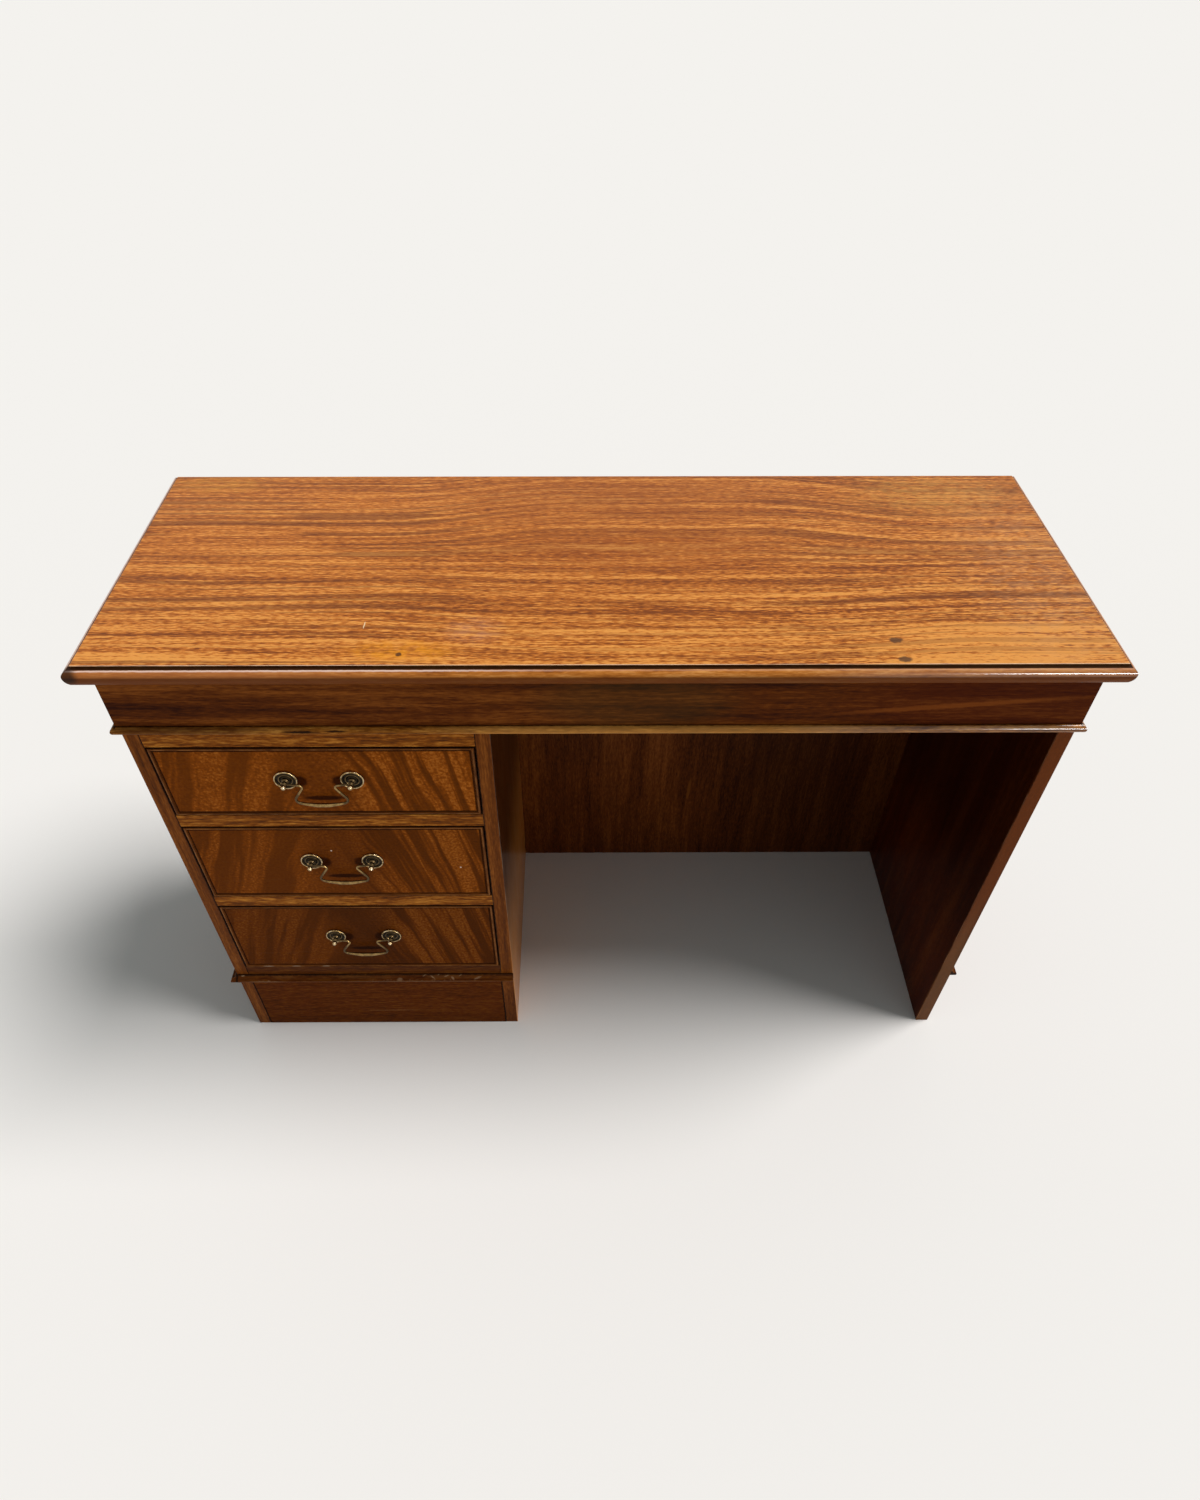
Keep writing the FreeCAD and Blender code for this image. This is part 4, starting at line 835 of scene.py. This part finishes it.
def flame_front(stem, shift, painted_shade):
    """Flame veneer on the face, plain mahogany on the edges and behind."""
    material, tree, output = new_material(f"flame_veneer_{stem}")
    place, numbers = place_on_desk(tree)
    off, point = flame_point(tree, numbers, shift)
    colour = toned(tree, flame_level(tree, place, off, point, shift), FLAME_TONES)
    open_pores = pores(tree, place, shift)
    colour = stain(tree, colour, open_pores, FLAME_TONES[0], 0.35)
    middle = ramp(tree, add(tree, "Math", [off], operation="ABSOLUTE"), 70, 22)
    colour = stain(tree, colour, middle, "#2A140A", 0.20 + 0.4 * painted_shade)
    colour = painted_handle_shadows(tree, place, colour, stem)
    rim = ramp(tree, from_rim(tree, numbers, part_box(f"{stem}_drawer_cock_bead")),
               COCK_WIDTH + 2.4, COCK_WIDTH + 1.4)
    colour = stain(tree, colour, rim, "#140602", 0.85)
    plain = along_grain(tree, numbers, "X", shift=shift)
    behind = toned(tree, figure(tree, plain, BOARD, shift), CASE_TONES)
    faces = add(tree, "SeparateXYZ", [(add(tree, "TexCoord"), "Normal")])
    veneered = ramp(tree, (faces, "Y"), -0.5, -0.9)
    colour = add(tree, "Mix", [veneered, behind, colour], data_type="RGBA")
    # painted shade: the lower fronts are darkened
    colour = stain(tree, colour, veneered, "#2A1002", painted_shade)
    for x, z in WHITE_FLECKS:
        fleck = mark(tree, place, (x, FRONT_FACE, z), (1.3, 6, 1.3), 0.4)
        colour = stain(tree, colour, fleck, "#F2E6D0", 0.9)
    lacquer(tree, output, colour, open_pores, 0.26, 0.01)
    return material


for stem, shift, painted_shade in (("top", 2.0, 0.0), ("middle", 5.5, 0.17), ("bottom", 8.5, 0.45)):
    lay_on(flame_front(stem, shift, painted_shade), f"{stem}_drawer_front")

# %% [markdown]
# A cock bead is a thin strip let into the edge of each drawer front, which shields the veneer. It
# is darker than the veneer, with a dark line at its outer edge, and its rounded crest carries a
# painted highlight.
# The upright strips have upright grain, so the number along the grain changes over near the ends
# of the front. On the lowest bead the wear has gone through to bare wood in three places.

# %% Cock beads
COCK_TONES = ("#3E1C06", "#5E300C", "#7C4616")
BARE_PLACES = ((-495, 11), (-453, 9), (-408, 8))  # place and half length
BARE_Z = 169.5


def cock_bead_finish(stem, shift, marks=()):
    """Lacquered mahogany for the four strips of one bead."""
    material, tree, output = new_material(f"cock_bead_mahogany_{stem}")
    place, numbers = place_on_desk(tree)
    low, high = span(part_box(f"{stem}_drawer_cock_bead"), "X")
    middle = add(tree, "Math", [(numbers, "X"), (low + high) / 2], operation="SUBTRACT")
    reach = add(tree, "Math", [middle], operation="ABSOLUTE")
    upright = add(tree, "Math", [reach, (high - low) / 2 - 5], operation="GREATER_THAN")
    level_grain = figure(tree, along_grain(tree, numbers, "X"), BOARD, shift)
    upright_grain = figure(tree, along_grain(tree, numbers, "Z"), BOARD, shift)
    colour = toned(tree, add(tree, "Mix", [upright, level_grain, upright_grain]), COCK_TONES)
    open_pores = pores(tree, place, shift)
    inward = from_rim(tree, numbers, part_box(f"{stem}_drawer_cock_bead"))
    crest_highlight = add(tree, "Math", [ramp(tree, inward, 1.2, 2.0), ramp(tree, inward, 3.4, 2.4)],
                operation="MULTIPLY")
    patchy = ramp(tree, streaks(tree, place, 14, 14, 2.0, shift + 5), 0.35, 0.65, 0.25, 1.0)
    rubbed = add(tree, "Math", [crest_highlight, patchy], operation="MULTIPLY")
    # painted highlight along the rounded crest
    colour = stain(tree, colour, rubbed, "#B47840", 0.5)
    colour = stain(tree, colour, ramp(tree, inward, 1.1, 0.4), "#0E0502", 0.85)
    for centre, half, over, strength in marks:
        colour = stain(tree, colour, mark(tree, place, centre, half), over, strength)
    lacquer(tree, output, colour, open_pores, 0.24, 0.03)
    return material


bare_wood = [((x, FRONT_FACE, BARE_Z), (half, 6, 1.3), "#D8C4A8", 0.7) for x, half in BARE_PLACES]
for stem, shift, marks in (("top", 3, ()), ("middle", 6, ()), ("bottom", 9, bare_wood)):
    lay_on(cock_bead_finish(stem, shift, marks), f"{stem}_drawer_cock_bead")

# %% [markdown]
# Inside, the drawers are thin sealed boards of a pale hardwood, with no stain. The runners, stops,
# blocks and the board under the drawers are sawn softwood, left bare, so they are paler, rougher
# and quite matt.

# %% Drawer boxes and hidden timber
BOX_TONES = ("#9A7448", "#B08A5A", "#C6A274")
SOFTWOOD_TONES = ("#B08A54", "#CBA873", "#DCC08F")
SOFTWOOD_GRAIN = ((300, 7, 1.2), (120, 2.4, 0.8), (20, 1.5, 0.5))
SEALED = {"wear": 0.1, "roughness": 0.5, "gloss": 0.2}
BARE = {"wear": 0.1, "roughness": 0.75, "gloss": 0.15}
for stem, shift in (("top", 43), ("middle", 47), ("bottom", 53)):
    lay_on(mahogany(f"sealed_hardwood_sides_{stem}", "Y", BOX_TONES, shift=shift, **SEALED),
           f"{stem}_drawer_left_side", f"{stem}_drawer_right_side")
    lay_on(mahogany(f"sealed_hardwood_back_{stem}", "X", BOX_TONES, shift=shift + 2, **SEALED),
           f"{stem}_drawer_back", f"{stem}_drawer_bottom")
lay_on(mahogany("sawn_softwood", "Y", SOFTWOOD_TONES, SOFTWOOD_GRAIN, shift=59, **BARE),
       "drawer_runners", "drawer_stops", "glue_blocks", "pedestal_bottom_board")

# %% [markdown]
# The handles are cast brass with an antique finish: darkened all over in a bath, then relieved on a
# wheel, so the hollows stay brown and the rims, balls and grips come up gold. The wheel reaches the
# rim of a rose and a faint ring inside it, the head of a post, and the grip of a bail.

# %% Antique brass
BRASS_TONES = ("#2A2218", "#5C4A30", "#967A4C", "#E6D4B0")
HANDLE_MIDDLE = sum(span(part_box("top_drawer_handle_roses"), "X")) / 2


def antique_brass(tree, place, relieved, output):
    """Brass that is dark where nothing has relieved it, and a little cloudy all over."""
    cloudy = ramp(tree, streaks(tree, place, 3.5, 3.5, 3.0), 0.35, 0.65, 0.7, 1.0)
    shown = add(tree, "Math", [relieved, cloudy], operation="MULTIPLY")
    metal = add(tree, "BsdfPrincipled", {
        "Base Color": toned(tree, shown, BRASS_TONES), "Metallic": 1.0,
        "Roughness": ramp(tree, shown, 0.0, 1.0, 0.36, 0.15)})
    tree.links.new(metal.outputs[0], output.inputs[0])


def from_middle(tree, numbers):
    """How far a point lies to the side of the handle's middle."""
    off = add(tree, "Math", [(numbers, "X"), HANDLE_MIDDLE], operation="SUBTRACT")
    return add(tree, "Math", [off], operation="ABSOLUTE")


print("middle of the handles at", round(HANDLE_MIDDLE), "mm")

# %% [markdown]
# A rose is turned round its post, so its finish follows the distance from the post. It is bright
# on the rim, with a fainter ring where the dish begins, and dark in the dish itself.

# %% Roses
rose_low, rose_high = span(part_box("top_drawer_handle_roses"), "Z")
ROSE_RADIUS = (rose_high - rose_low) / 2
ROSE_APART = span(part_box("top_drawer_handle_roses"), "X")[1] - HANDLE_MIDDLE - ROSE_RADIUS
for stem in ("top", "middle", "bottom"):
    material, tree, output = new_material(f"antique_brass_{stem}_roses")
    place, numbers = place_on_desk(tree)
    rose_z = sum(span(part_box(f"{stem}_drawer_handle_roses"), "Z")) / 2
    side = add(tree, "Math", [from_middle(tree, numbers), ROSE_APART], operation="SUBTRACT")
    rise = add(tree, "Math", [(numbers, "Z"), rose_z], operation="SUBTRACT")
    spot = add(tree, "CombineXYZ", [side, rise, 0.0])
    radius = add(tree, "VectorMath", [spot], operation="LENGTH")
    rim = ramp(tree, radius, ROSE_RADIUS - 2.2, ROSE_RADIUS - 1.4, 0.0, 0.85)
    ring = add(tree, "Math", [ramp(tree, radius, 7.6, 8.3, 0.0, 0.5), ramp(tree, radius, 9.1, 8.5)],
               operation="MULTIPLY")
    antique_brass(tree, place, add(tree, "Math", [rim, ring]), output)
    lay_on(material, f"{stem}_drawer_handle_roses")

# %% [markdown]
# A post is dark along its shank and bright on its ball, which stands furthest out from the drawer.
# A bail is dark near its ends and bright along the grip, where the fingers go.

# %% Posts and bails
stems = ("top", "middle", "bottom")
material, tree, output = new_material("antique_brass_posts")
place, numbers = place_on_desk(tree)
out = add(tree, "Math", [FRONT_FACE, (numbers, "Y")], operation="SUBTRACT")
antique_brass(tree, place, ramp(tree, out, 12.0, 15.0, 0.28, 0.95), output)
lay_on(material, *[f"{stem}_drawer_handle_{part}" for stem in stems for part in ("posts", "nuts")])

material, tree, output = new_material("antique_brass_bails")
place, numbers = place_on_desk(tree)
antique_brass(tree, place, ramp(tree, from_middle(tree, numbers), 30, 22, 0.30, 0.68), output)
lay_on(material, *[f"{stem}_drawer_handle_bail" for stem in stems])

# %% [markdown]
# The screws that hold the top from below are plain steel with a thin coat of zinc, a cool grey.

# %% Zinc plated steel
ZINC_DARK, ZINC_LIGHT = linear("#8E8E8C"), linear("#BDBDBB")
material, tree, output = new_material("zinc_plated_steel")
place, numbers = place_on_desk(tree)
scuffed = add(tree, "TexNoise", [place, 0.8, 3.0])
metal = add(tree, "BsdfPrincipled", {
    "Base Color": add(tree, "Mix", [scuffed, ZINC_DARK, ZINC_LIGHT], data_type="RGBA"),
    "Metallic": 1.0, "Roughness": ramp(tree, scuffed, 0.3, 0.7, 0.3, 0.5)})
tree.links.new(metal.outputs[0], output.inputs[0])
lay_on(material, "top_fixing_screws")
